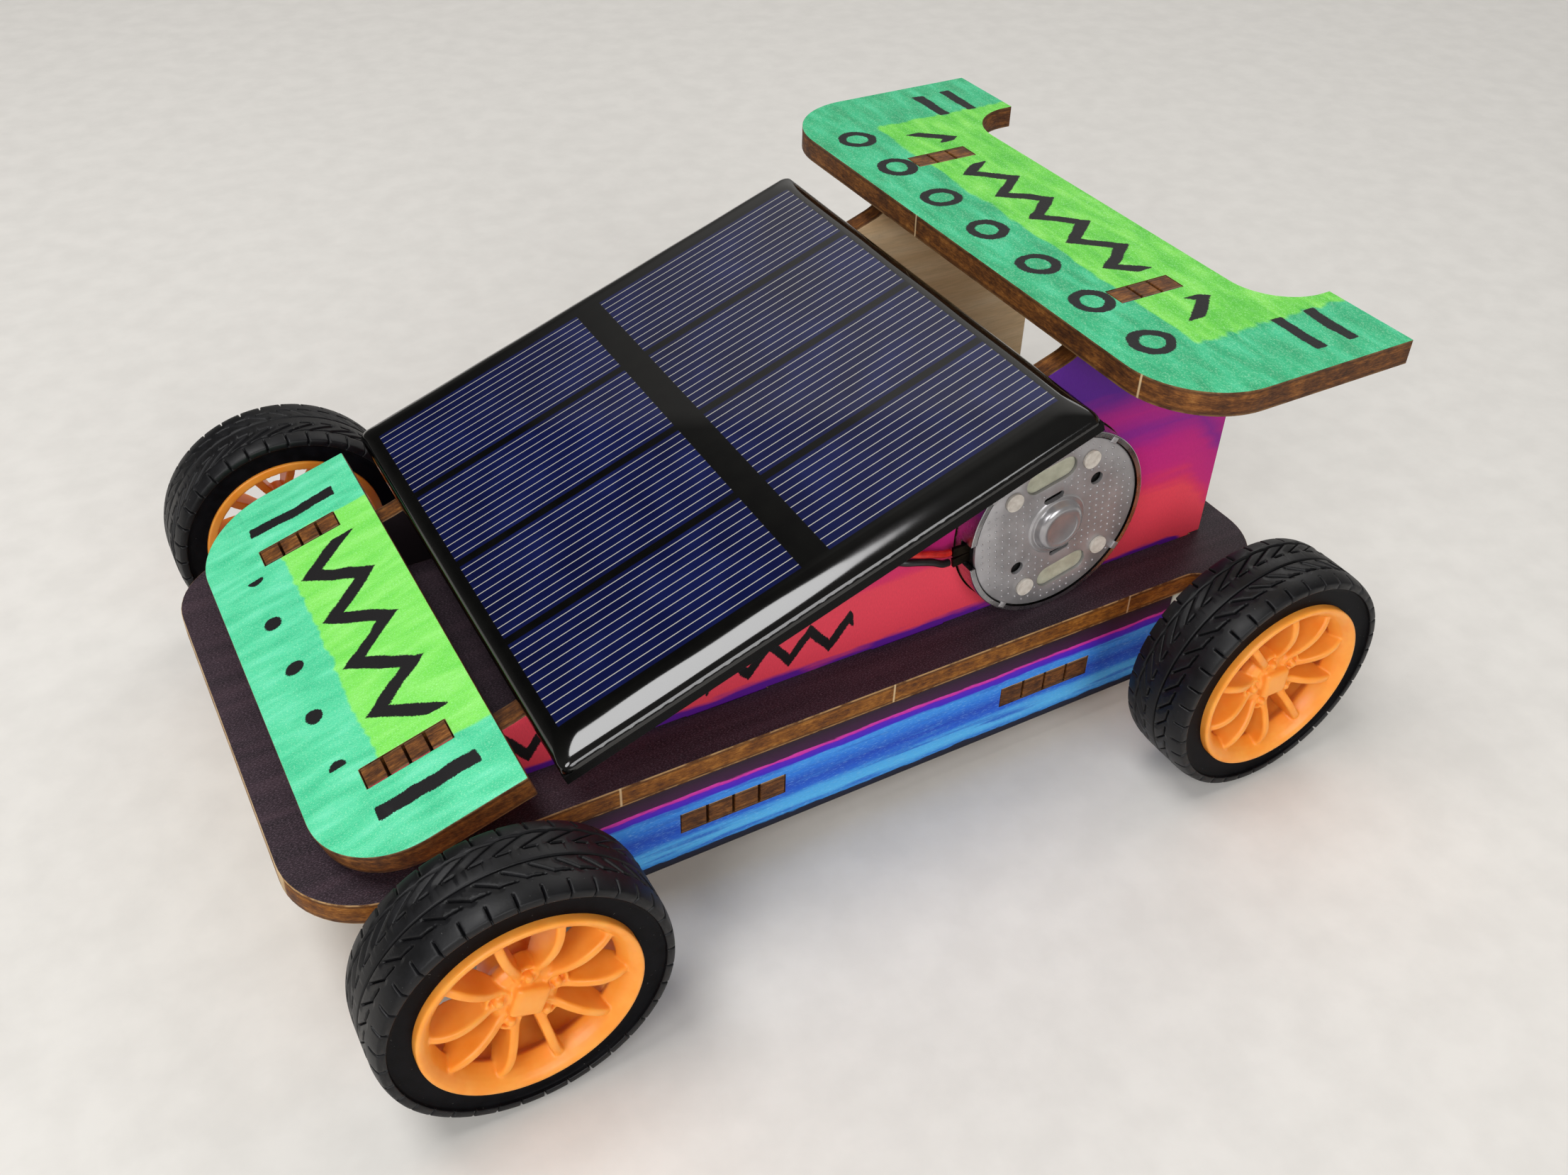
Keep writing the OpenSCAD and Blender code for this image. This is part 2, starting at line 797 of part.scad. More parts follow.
// Armature: shaft, laminated core with three poles, coils and commutator
module motor_shaft() {
    shaft_l = motor_y - shaft_end_y - rim_lip - plate_t + rear_bush_l - shaft_head;
    color("#c8cbd0")
        translate([motor_x, shaft_end_y, motor_z])
            rotate([-90, 0, 0]) cylinder(d = shaft_d, h = shaft_l);
}

// Wedge that reaches past radius r and opens by half to each side of +X
module pole_wedge(half, r) {
    polygon([[0, 0], [r*cos(half), r*sin(half)], [2*r, 0], [r*cos(half), -r*sin(half)]]);
}

module motor_core() {
    shoe_half = 46;
    color("#6d6f73")
        on_motor()
            translate([0, 0, core_z])
                linear_extrude(core_h)
                    difference() {
                        union() {
                            circle(hub_core_r);
                            for (turn = [0, 120, 240])
                                rotate(turn) {
                                    translate([0, -neck_w/2]) square([core_r - shoe_t/2, neck_w]);
                                    intersection() {
                                        difference() {
                                            circle(core_r);
                                            circle(core_r - shoe_t);
                                        }
                                        pole_wedge(shoe_half, core_r + over);
                                    }
                                }
                        }
                        circle(d = shaft_d + 2*press_gap);
                    }
}

module motor_windings() {
    coil_half = neck_w/2 + winding_t;
    span = sqrt(pow(core_r - shoe_t, 2) - pow(coil_half, 2)) - 2*seat_gap - coil_start;
    color("#b5642c")
        on_motor()
            for (turn = [0, 120, 240])
                rotate([0, 0, turn])
                    translate([coil_start, 0, core_z + core_h/2])
                        difference() {
                            translate([0, -coil_half, -core_h/2 - winding_over])
                                cube([span, 2*coil_half, core_h + 2*winding_over]);
                            translate([-over, -neck_w/2 - seat_gap, -core_h/2 - seat_gap])
                                cube([span + 2*over, neck_w + 2*seat_gap, core_h + 2*seat_gap]);
                            coil_flank(1);
                            coil_flank(-1);
                        }
}

// Cuts the flank of a coil along the plane half way to the next pole
module coil_flank(s) {
    reach = 3*core_r;
    translate([-coil_start, 0, 0])
        rotate([0, 0, s*60])
            translate([0, s > 0 ? -coil_gap/2 : coil_gap/2 - reach, -core_h])
                cube([reach, reach, 2*core_h]);
}

module motor_commutator() {
    color("#c98a4b")
        on_motor()
            translate([0, 0, bell_z - bell_t - commutator_h + commutator_in])
                bush(2*commutator_r, shaft_d + 2*press_gap, commutator_h);
}

// Belt drive
module pulley(pitch_r, bore_d) {
    belt_r = belt_d/2 + belt_gap;
    rotate_extrude()
        difference() {
            translate([bore_d/2, -pulley_w/2]) square([pitch_r + flange_h - bore_d/2, pulley_w]);
            translate([pitch_r, 0]) circle(belt_r);
            translate([pitch_r, -belt_r]) square([flange_h + over, 2*belt_r]);
        }
}

module motor_pulley() {
    color("#e9e6dc")
        translate([motor_x, belt_y, motor_z])
            rotate([-90, 0, 0]) pulley(belt_motor_r, shaft_d + 2*press_gap);
}

module axle_pulley() {
    color("#e9e6dc")
        translate([rear_x, belt_y, axle_z])
            rotate([-90, 0, 0]) pulley(belt_axle_r, axle_d + 2*press_gap);
}

// Ring of the belt's section on an arc of radius r about x, at an angle from the line between the axes
function belt_ring(x, r, angle) =
    let (out = [cos(angle), sin(angle), 0])
    [for (k = [0 : belt_sides - 1])
        [x, 0, 0] + (r + belt_d/2*cos(360*k/belt_sides))*out - [0, 0, belt_d/2*sin(360*k/belt_sides)]];

module drive_belt() {
    axle_sweep = 180 + 2*belt_lean;
    motor_sweep = 180 - 2*belt_lean;
    axle_rings = [for (i = [0 : axle_steps])
        each belt_ring(0, belt_axle_r, 90 - belt_lean + axle_sweep*i/axle_steps)];
    motor_rings = [for (i = [0 : motor_steps])
        each belt_ring(belt_span, belt_motor_r, belt_lean - 90 + motor_sweep*i/motor_steps)];
    color("#1c1c1c")
        translate([rear_x, belt_y, axle_z])
            rotate([0, -belt_tilt, 0])
                rotate([90, 0, 0])
                    polyhedron(concat(axle_rings, motor_rings),
                        tube_faces(axle_steps + motor_steps + 2, belt_sides, true));
}

// Axles and bushes
module axle(x) {
    color("#c8cbd0")
        translate([x, -axle_l/2, axle_z])
            rotate([-90, 0, 0]) cylinder(d = axle_d, h = axle_l);
}

module front_axle() {
    axle(front_x);
}

module rear_axle() {
    axle(rear_x);
}

module axle_bushes() {
    color("#f0eee6")
        for (x = [rear_x, front_x])
            for (y = [sill_y - bush_in, -deck_w/2 - bush_out])
                translate([x, y, axle_z])
                    rotate([-90, 0, 0]) bush(bush_d, axle_d + 2*run_gap, ply_t + bush_in + bush_out);
}

// Wheels, drawn with the outer side of the rim at z = 0 and the hub towards -z
module wheel_at(x, side) {
    translate([x, side*track_w/2, axle_z])
        rotate([-side*90, 0, 0]) children();
}

module tyre() {
    r = tyre_d/2;
    bead = rim_d/2;
    side = -lip_proud;
    color("#1b1b1c")
        rotate_extrude()
            difference() {
                polygon([[bead, wheel_in + bead_step], [r - 1.7, wheel_in], [r - 0.9, wheel_in + 0.1],
                    [r - shoulder_drop, wheel_in + 0.6], [r, wheel_in + tyre_w*crown_at],
                    [r, side - tyre_w*crown_at], [r - shoulder_drop, side - 0.6],
                    [r - 0.9, side - 0.1], [r - 1.7, side], [bead, side - bead_step]]);
                for (w = groove_at)
                    translate([r - groove_d, wheel_in + tyre_w*w - groove_w/2])
                        square([groove_d + over, groove_w]);
            }
}

// Curved blade between two points, bent to one side on a circle of radius bend
module blade(from, to, bend, t, side) {
    chord = to - from;
    l = norm(chord);
    sag = sqrt(bend*bend - l*l/4);
    normal = [-chord[1], chord[0]]/l;
    middle = (from + to)/2;
    intersection() {
        translate(middle + side*sag*normal)
            difference() {
                circle(bend + t/2);
                circle(bend - t/2);
            }
        translate(from)
            rotate(atan2(chord[1], chord[0]))
                translate([-blade_join, -bend/2]) square([l + 2*blade_join, bend]);
    }
}

// Rim with spokes in pairs, a lug nut at the root of each pair and a square cap, turned about its axle
module rim(turn) {
    spoke_pairs = 5;
    root_turn = 14;
    tip_turn = 18;
    tip_r = rim_in_r + rim_wall/4;
    spoke_z = -spoke_recess - spoke_h;
    color("#f0902c")
        difference() {
            union() {
                rotate_extrude() {
                    translate([rim_in_r, wheel_in + lip_in])
                        square([rim_wall, -wheel_in - lip_in - rim_wall/2]);
                    translate([rim_in_r + rim_wall/2, -rim_wall/2]) circle(rim_wall/2);
                }
                translate([0, 0, spoke_z])
                    linear_extrude(spoke_h)
                        for (i = [0 : spoke_pairs - 1])
                            for (s = [-1, 1])
                                rotate(turn + 360*i/spoke_pairs)
                                    blade(spoke_root_r*[cos(s*root_turn), sin(s*root_turn)],
                                        tip_r*[cos(s*tip_turn), sin(s*tip_turn)], spoke_bend, spoke_t, -s);
                translate([0, 0, spoke_z]) cylinder(r = hub_disc_r, h = -hub_recess - spoke_z);
                translate([0, 0, hub_in]) cylinder(r = hub_r, h = -hub_recess - hub_seat - hub_in);
                rotate([0, 0, turn])
                    translate([-cap_w/2, -cap_w/2, -hub_recess - hub_seat]) cube([cap_w, cap_w, cap_h]);
                for (i = [0 : spoke_pairs - 1])
                    rotate([0, 0, turn + 360*i/spoke_pairs])
                        translate([lug_ring_r, 0, -hub_recess - hub_seat]) cylinder(r = lug_r, h = lug_h);
            }
            translate([0, 0, hub_in - over])
                cylinder(d = axle_d + 2*press_gap, h = over - hub_in - axle_recess + axle_tip);
        }
}

module front_left_rim() {
    wheel_at(front_x, 1) rim(front_turn);
}

module front_right_rim() {
    wheel_at(front_x, -1) rim(front_turn);
}

module rear_left_rim() {
    wheel_at(rear_x, 1) rim(rear_turn);
}

module rear_right_rim() {
    wheel_at(rear_x, -1) rim(rear_turn);
}

module front_left_tyre() {
    wheel_at(front_x, 1) tyre();
}

module front_right_tyre() {
    wheel_at(front_x, -1) tyre();
}

module rear_left_tyre() {
    wheel_at(rear_x, 1) tyre();
}

module rear_right_tyre() {
    wheel_at(rear_x, -1) tyre();
}

// Leads: one tube along each route
function unit(v) = v/norm(v);
function along(route, i) = unit(route[min(i + 1, len(route) - 1)] - route[max(i - 1, 0)]);
function ring(route, i) =
    let (t = along(route, i), a = unit(cross(t, [0.3, 1, 0.2])), b = cross(t, a))
    [for (k = [0 : wire_sides - 1])
        route[i] + wire_d/2*(a*cos(360*k/wire_sides) + b*sin(360*k/wire_sides))];

// Faces of a tube with n rings of m points, with end caps unless it closes on itself
function tube_faces(n, m, closed) = concat(
    [for (i = [0 : closed ? n - 1 : n - 2]) for (k = [0 : m - 1])
        let (p = i*m + k, q = i*m + (k + 1) % m, next = ((i + 1) % n)*m)
        each [[p, next + (k + 1) % m, q], [p, next + k, next + (k + 1) % m]]],
    closed ? [] : [for (k = [1 : m - 2])
        each [[0, k, k + 1], [(n - 1)*m, (n - 1)*m + k + 1, (n - 1)*m + k]]]);

module lead(route) {
    rings = [for (i = [0 : len(route) - 1]) each ring(route, i)];
    polyhedron(rings, tube_faces(len(route), wire_sides, false));
}

module red_lead() {
    color("#d3201f") lead(red_route);
}

module black_lead() {
    color("#202022") lead(black_route);
}

deck_plate();
left_sill();
right_sill();
tie_plate();
left_side_panel();
right_side_panel();
hood_plate();
rear_wing();
panel_board();
solar_cells();
panel_resin();
panel_tape();
panel_pads();
motor_can();
motor_end_plate();
motor_rivets();
motor_end_bell();
motor_magnet();
motor_bushes();
motor_brushes();
motor_terminals();
motor_shaft();
motor_core();
motor_windings();
motor_commutator();
motor_pulley();
axle_pulley();
drive_belt();
front_axle();
rear_axle();
axle_bushes();
front_left_rim();
front_right_rim();
rear_left_rim();
rear_right_rim();
front_left_tyre();
front_right_tyre();
rear_left_tyre();
rear_right_tyre();
red_lead();
black_lead();
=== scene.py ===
"""Looks of a small solar model race car of laser-cut plywood.

The plywood plates, the drive and most of the motor keep their solids and get bevels and procedural
finishes. The tyres, rims, solar panel face, leads and the motor's end plate are detailed meshes that replace
their plain solids. Lengths are written in millimetres and scaled by MM, in the part's own frame: +X forward,
+Y left, +Z up.
"""
import math

import bmesh
import bpy
from mathutils import Matrix, Vector


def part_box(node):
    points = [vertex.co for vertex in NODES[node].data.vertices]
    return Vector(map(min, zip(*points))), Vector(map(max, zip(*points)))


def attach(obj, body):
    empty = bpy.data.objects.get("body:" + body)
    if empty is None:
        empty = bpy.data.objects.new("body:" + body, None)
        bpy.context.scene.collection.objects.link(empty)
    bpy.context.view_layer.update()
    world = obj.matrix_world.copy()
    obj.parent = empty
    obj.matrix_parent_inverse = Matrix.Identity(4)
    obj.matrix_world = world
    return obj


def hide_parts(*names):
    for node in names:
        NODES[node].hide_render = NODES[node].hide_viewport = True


MM = 0.001
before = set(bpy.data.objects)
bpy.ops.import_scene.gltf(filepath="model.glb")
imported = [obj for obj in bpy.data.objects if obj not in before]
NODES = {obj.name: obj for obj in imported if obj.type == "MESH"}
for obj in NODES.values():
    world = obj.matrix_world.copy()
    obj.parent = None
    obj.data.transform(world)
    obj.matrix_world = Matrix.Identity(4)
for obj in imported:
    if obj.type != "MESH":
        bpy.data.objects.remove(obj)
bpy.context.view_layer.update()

# Slopes of the hood and of the solar panel, in degrees, and the joint of the two, as in the solids
HOOD_ANGLE = 17
SOLAR_ANGLE = 20
SHOULDER = (37.425, 0, 27.4)
PLY_T = 2.8

# Camera, fitted to the photograph
CAMERA_AT = (67.94, 128.34, 134.03)
CAMERA_RIGHT = (-0.87361, 0.48623, 0.01973)
CAMERA_UP = (-0.29391, -0.55951, 0.77497)
SENSOR_W = 36
PHOTO_W = 2212
FOCAL_PX = 2093


def rgb(code):
    """Linear colour of a #rrggbb code."""
    parts = [int(code[i:i + 2], 16) / 255 for i in (1, 3, 5)]
    linear = [c / 12.92 if c < 0.04045 else ((c + 0.055) / 1.055) ** 2.4 for c in parts]
    return (*linear, 1)


def box_mm(node):
    """Lowest and highest corner of a CAD node, in millimetres."""
    low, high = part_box(node)
    return low / MM, high / MM


def middle_mm(node):
    """Middle of a CAD node's box, in millimetres."""
    low, high = box_mm(node)
    return (low + high) / 2


DECK_TOP = box_mm("deck_plate")[1].z


# Node graphs

class Graph:
    """A node tree, built with short calls. Its places are in millimetres."""

    def __init__(self, tree):
        self.tree = tree

    def link(self, socket, value):
        """Feeds a socket from another one, or with a number, a vector or a colour code."""
        if isinstance(value, bpy.types.NodeSocket):
            self.tree.links.new(value, socket)
        else:
            socket.default_value = rgb(value) if isinstance(value, str) else value

    def add(self, kind, inputs, out=0, **settings):
        node = self.tree.nodes.new("ShaderNode" + kind)
        for name, value in settings.items():
            setattr(node, name, value)
        for key, value in inputs.items():
            self.link(node.inputs[key], value)
        return node.outputs[out]

    def math(self, operation, *values):
        return self.add("Math", dict(enumerate(values)), operation=operation)

    def plus(self, a, b):
        return self.math("ADD", a, b)

    def minus(self, a, b):
        return self.math("SUBTRACT", a, b)

    def times(self, a, b):
        return self.math("MULTIPLY", a, b)

    def apart(self, a, b):
        """How far two values are apart."""
        return self.math("ABSOLUTE", self.minus(a, b))

    def length(self, a, b):
        """Length of a vector with two parts."""
        return self.math("SQRT", self.plus(self.times(a, a), self.times(b, b)))

    def swing(self, noise, reach):
        """Noise from 0 to 1 as a value on both sides of 0."""
        return self.times(self.minus(noise, 0.5), reach)

    def vector(self, operation, *values, out=0):
        return self.add("VectorMath", dict(enumerate(values)), out=out, operation=operation)

    def place(self):
        """Place in the object's own frame, in millimetres."""
        metres = self.add("TexCoord", {}, out="Object")
        return self.add("VectorMath", {0: metres, "Scale": 1 / MM}, operation="SCALE")

    def facing(self, direction):
        """How far the surface faces a direction, from -1 to 1."""
        normal = self.add("TexCoord", {}, out="Normal")
        return self.vector("DOT_PRODUCT", normal, direction, out="Value")

    def axes(self, place):
        split = self.tree.nodes.new("ShaderNodeSeparateXYZ")
        self.link(split.inputs[0], place)
        return split.outputs

    def turned(self, place, degrees):
        """Place turned about Y, so that a slope's frame becomes level."""
        return self.add("VectorRotate", {"Vector": place, "Angle": math.radians(degrees)},
                        rotation_type="Y_AXIS")

    def noise(self, place, size, detail=3, roughness=0.55, stretch=(1, 1, 1)):
        """Noise from 0 to 1 with features about size millimetres wide, longer where stretch is larger."""
        scaled = self.vector("DIVIDE", place, Vector(stretch))
        inputs = {"Vector": scaled, "Scale": 1 / size, "Detail": detail, "Roughness": roughness}
        return self.add("TexNoise", inputs)

    def wobbled(self, place, size, amount):
        """Place pushed about by noise, as a hand-held pen wanders."""
        noise = self.add("TexNoise", {"Vector": place, "Scale": 1 / size, "Detail": 2}, out=1)
        centred = self.vector("SUBTRACT", noise, (0.5, 0.5, 0.5))
        push = self.add("VectorMath", {0: centred, "Scale": 2 * amount}, operation="SCALE")
        return self.vector("ADD", place, push)

    def step(self, value, low, high):
        """0 below low and 1 above high, smooth between."""
        inputs = {0: value, 1: low, 2: high, 3: 0.0, 4: 1.0}
        return self.add("MapRange", inputs, interpolation_type="SMOOTHSTEP")

    def drop(self, value, low, high):
        """1 below low and 0 above high, smooth between."""
        return self.minus(1.0, self.step(value, low, high))

    def stroke(self, distance, width, soft=0.3):
        """1 within half a width of a line."""
        return self.drop(distance, width / 2 - soft, width / 2 + soft)

    def mix(self, share, first, second, blend="MIX"):
        inputs = {0: share, 6: first, 7: second}
        return self.add("Mix", inputs, out=2, data_type="RGBA", blend_type=blend)

    def shaded(self, colour, level):
        """A colour made darker or lighter."""
        grey = self.add("CombineXYZ", {0: level, 1: level, 2: level})
        return self.mix(1.0, colour, grey, blend="MULTIPLY")

    def ramp(self, value, stops):
        """Colour for a value, from (position, colour code) stops."""
        node = self.tree.nodes.new("ShaderNodeValToRGB")
        elements = node.color_ramp.elements
        stops = list(stops)
        while len(elements) < len(stops):
            elements.new(0.5)
        for element, (position, code) in zip(elements, stops):
            element.position = position
            element.color = rgb(code)
        self.link(node.inputs[0], value)
        return node.outputs[0]

    def tint(self, noise, low, high):
        """Colour that goes from low to high over the middle of a noise."""
        return self.ramp(noise, [(0.35, low), (0.65, high)])

    def grey(self, value, low, high):
        """Grey level from low to high as value goes from 0 to 1."""
        return self.add("MapRange", {0: value, 1: 0.0, 2: 1.0, 3: low, 4: high})


class Finish(Graph):
    """A material and its node tree."""

    def __init__(self, name, **sockets):
        self.material = bpy.data.materials.new(name)
        self.material.use_nodes = True
        super().__init__(self.material.node_tree)
        for socket, value in sockets.items():
            self.set(socket.replace("_", " ").title().replace("Ior", "IOR"), value)

    def set(self, socket, value):
        self.link(self.tree.nodes["Principled BSDF"].inputs[socket], value)

    def finish(self, colour, rough, height, depth, strength):
        """The material with its colour, its roughness and a relief of some depth in millimetres."""
        self.set("Base Color", colour)
        self.set("Roughness", rough)
        inputs = {"Height": height, "Distance": depth * MM, "Strength": strength}
        self.set("Normal", self.add("Bump", inputs))
        return self.material


# Wood finishes

INK = "#100d10"
TONE_STOPS = (0.3, 0.5, 0.7)
NICK_W = 0.24


def stretched(along, length):
    """Stretch of a noise along an axis, 0 for X to 2 for Z."""
    return [length if axis == along else 1 for axis in range(3)]


def fibres(g, place, along, size=0.12, length=4):
    """Fine fibres from 0 to 1 along an axis."""
    return g.noise(place, size, detail=3, roughness=0.7, stretch=stretched(along, length))


def streaks(g, place, along, size, length):
    """Broad pen strokes from 0 to 1 along an axis."""
    return g.noise(place, size, detail=2, roughness=0.5, stretch=stretched(along, length))


def bare_wood(g, place, along):
    """Pale unpainted veneer."""
    broad = streaks(g, place, along, size=2.6, length=10)
    tone = g.ramp(broad, zip(TONE_STOPS, ("#d3b186", "#dfc198", "#e8cfab")))
    return g.shaded(tone, g.grey(fibres(g, place, along, size=0.22, length=14), 0.72, 1.22))


# Tones of a cut edge, from its darkest to its lightest, and how worn its rims are
DARK_EDGE = (("#341a09", "#5c3513", "#825020", "#a2743b"), 0.2)
WARM_EDGE = (("#46230a", "#75440f", "#97601f", "#b98848"), 0.75)


def burnt_edge(g, place, normal, middle, edge):
    """Laser-burnt cut edge: grain along the plies, a darker core and pale lines along its two rims."""
    tones, wear = edge
    stretch = [4 - 3 * abs(part) for part in normal]
    grain = g.noise(place, 0.2, detail=4, roughness=0.75, stretch=stretch)
    blotch = g.noise(place, 2.4, detail=3)
    level = g.plus(g.times(grain, 0.62), g.times(blotch, 0.46))
    across = g.apart(g.vector("DOT_PRODUCT", place, normal, out="Value"), middle)
    core = g.drop(across, PLY_T * 0.16, PLY_T * 0.2)
    level = g.minus(level, g.times(core, 0.05))
    tone = g.ramp(level, zip((0.36, 0.5, 0.62, 0.76), tones))
    scorch = g.times(g.step(across, PLY_T / 2 - 0.6, PLY_T / 2 - 0.36), 0.55)
    tone = g.mix(scorch, tone, "#2a1408")
    rim = g.step(across, PLY_T / 2 - 0.26, PLY_T / 2 - 0.12)
    worn = g.step(g.noise(place, 1.8, detail=4), 0.36, 0.56)
    return g.mix(g.times(rim, g.times(worn, wear)), tone, "#c09a68")


def nicks(g, place, axis, spacing, offset):
    """Thin pale lines across an edge, at wide spacing along an axis."""
    along = g.axes(g.wobbled(place, 3, 0.12))[axis]
    cell = g.math("PINGPONG", g.plus(along, offset), spacing / 2)
    return g.stroke(cell, NICK_W, soft=0.06)


def ply_finish(name, normal, middle, paint, along, back=None, cut=DARK_EDGE, nick=None):
    """Material of a plywood plate: a painted face, a back and burnt edges."""
    g = Finish(name, specular_ior_level=0.28)
    place = g.place()
    side = g.facing(normal)
    front = paint(g, place)
    rear = back(g, place) if back else bare_wood(g, place, along)
    edge = burnt_edge(g, place, normal, middle, cut)
    if nick:
        edge = g.mix(g.times(nicks(g, place, *nick), 0.75), edge, "#d9bd92")
    face = g.mix(g.step(side, -0.1, 0.1), rear, front)
    flat = g.step(g.math("ABSOLUTE", side), 0.7, 0.97)
    fine = fibres(g, place, along, length=6)
    return g.finish(g.mix(flat, edge, face), g.grey(fine, 0.5, 0.72), fine, 0.05, 0.5)


def over_grain(g, place, along, colour, low, high):
    """A pen colour over the veneer's fibres."""
    return g.shaded(colour, g.grey(fibres(g, place, along), low, high))


def ink_over(g, place, mask, colour):
    """Black pen strokes with dry edges that bleed along the fibres, over a colour."""
    dry = g.noise(place, 0.16, detail=2, roughness=0.8)
    ragged = g.plus(mask, g.swing(dry, 1.3))
    grain = g.times(g.step(dry, 0.62, 0.8), 0.16)
    ink = g.mix(grain, INK, "#5a5560")
    return g.mix(g.step(ragged, 0.42, 0.62), colour, ink)


def paint_deck(g, place):
    """Plum-black pen with dense short fibres showing through."""
    broad = streaks(g, place, 0, size=1.8, length=10)
    tone = g.ramp(broad, [(0.3, "#1b1118"), (0.5, "#271a22"), (0.72, "#35252d")])
    speck = g.step(fibres(g, place, 0, size=0.1, length=2.6), 0.44, 0.74)
    return g.mix(g.times(speck, 0.5), tone, "#7d6a76")


def paint_sill(g, place):
    """Bands of pen along the sill: plum, magenta, violet, blues and a dark foot."""
    low, high = box_mm("left_sill")
    height = g.axes(g.wobbled(place, 9, 0.35))[2]
    share = g.math("DIVIDE", g.minus(height, low.z), high.z - low.z)
    share = g.plus(share, g.swing(fibres(g, place, 0, size=0.3, length=10), 0.05))
    bands = [(0.0, "#12121f"), (0.075, "#171a33"), (0.085, "#2f86d6"), (0.17, "#55b4ef"), (0.28, "#4aa6ea"),
             (0.34, "#1f5fd0"), (0.46, "#1947bb"), (0.56, "#2673da"), (0.7, "#3f97ea"), (0.72, "#3b22c4"),
             (0.79, "#5a17bd"), (0.8, "#c42ba6"), (0.825, "#d83aa8"), (0.835, "#3f1440"), (1.0, "#241322")]
    tone = g.ramp(share, bands)
    pale = g.step(fibres(g, place, 0, size=0.13, length=5), 0.52, 0.72)
    blue = g.times(g.step(share, 0.08, 0.1), g.drop(share, 0.7, 0.72))
    broad = g.step(streaks(g, place, 0, size=0.9, length=16), 0.5, 0.7)
    stroke = g.mix(g.times(broad, blue), tone, "#2a6ccd")
    stroke = g.mix(g.times(pale, g.times(blue, 0.32)), stroke, "#a5dcfa")
    return over_grain(g, place, 0, stroke, 0.74, 1.2)


def zigzag(g, u, v, centre, height, half_period, width):
    """A zig-zag line along v."""
    wave = g.times(g.math("PINGPONG", v, half_period), height / half_period)
    middle = g.plus(wave, centre - height / 2)
    slant = math.cos(math.atan(height / half_period))
    return g.stroke(g.times(g.apart(u, middle), slant), width)


def dots(g, u, v, centre, half_pitch, radius, ring=0.0):
    """A row of dots along v, hollow where ring gives a pen width."""
    away = g.length(g.math("PINGPONG", v, half_pitch), g.minus(u, centre))
    if ring:
        return g.stroke(g.apart(away, radius), ring)
    return g.stroke(away, 2 * radius)


def bars(g, u, v, at, low, high, width):
    """A straight stroke across v at a place, from low to high along u."""
    line = g.stroke(g.apart(v, at), width)
    inside = g.times(g.step(u, low - 0.2, low + 0.2), g.drop(u, high - 0.2, high + 0.2))
    return g.times(line, inside)


def joined(g, masks):
    total = masks[0]
    for mask in masks[1:]:
        total = g.math("MAXIMUM", total, mask)
    return total


def two_greens(g, place, along, lime, teals, limes):
    """Teal pen with a lime area, each from a dark to a light stroke, over fine pale and dark fibres."""
    broad = streaks(g, place, along, size=1.5, length=4)
    ragged = g.plus(lime, g.swing(broad, 1.2))
    teal = g.ramp(broad, zip(TONE_STOPS, teals))
    fresh = g.ramp(broad, zip(TONE_STOPS, limes))
    fine = fibres(g, place, along, size=0.1, length=2.2)
    colour = over_grain(g, place, along, g.mix(g.step(ragged, 0.3, 0.7), teal, fresh), 0.86, 1.08)
    dark = g.drop(fine, 0.3, 0.46)
    colour = g.mix(g.times(dark, 0.3), colour, "#1f8a55")
    return g.mix(g.times(g.step(fine, 0.5, 0.68), 0.36), colour, "#cbf7d2")


def paint_hood(g, place):
    """Greens with a generic zig-zag, dots and end bars of black pen."""
    level = g.turned(g.vector("SUBTRACT", place, Vector(SHOULDER)), -HOOD_ANGLE)
    u, v, _ = g.axes(g.wobbled(level, 5, 0.55))
    far = g.math("ABSOLUTE", v)
    lime = g.times(g.drop(u, 12.5, 14), g.drop(far, 20.5, 22))
    inner = g.drop(far, 16.6, 17)
    art = joined(g, [g.times(zigzag(g, u, v, 8.5, 5.4, 4.2, 1.7), inner),
                     g.times(dots(g, u, v, 17.2, 4.2, 1.0), inner),
                     bars(g, u, far, 25.2, 4.5, 15.5, 1.8)])
    teals = ("#3cc28e", "#50d29d", "#69deb0")
    limes = ("#6fd84b", "#7de056", "#8ee86a")
    return ink_over(g, place, art, two_greens(g, level, 0, lime, teals, limes))


def paint_wing(g, place):
    """Greens with generic rings, a zig-zag and ear bars of black pen."""
    x, v, _ = g.axes(g.wobbled(place, 5, 0.55))
    u = g.minus(box_mm("rear_wing")[1].x, x)
    far = g.math("ABSOLUTE", v)
    lime = g.times(g.step(u, 8.5, 10.5), g.drop(far, 30.5, 33))
    inner = g.drop(far, 34.6, 35)
    clear = g.step(g.apart(far, 20), 3.4, 3.8)
    rear_row = g.times(zigzag(g, u, v, 14.6, 4.2, 3.5, 1.5), clear)
    art = joined(g, [g.times(dots(g, u, v, 5.4, 4.9, 2.0, ring=1.2), inner),
                     g.times(rear_row, g.drop(far, 27.6, 28)),
                     bars(g, far, u, 20.5, 31.5, 38.5, 1.6), bars(g, far, u, 25.0, 31.5, 38.5, 1.6)])
    teals = ("#1f9d69", "#2ab17a", "#41c38f")
    limes = ("#54be34", "#69ce40", "#86de58")
    return ink_over(g, place, art, two_greens(g, place, 1, lime, teals, limes))


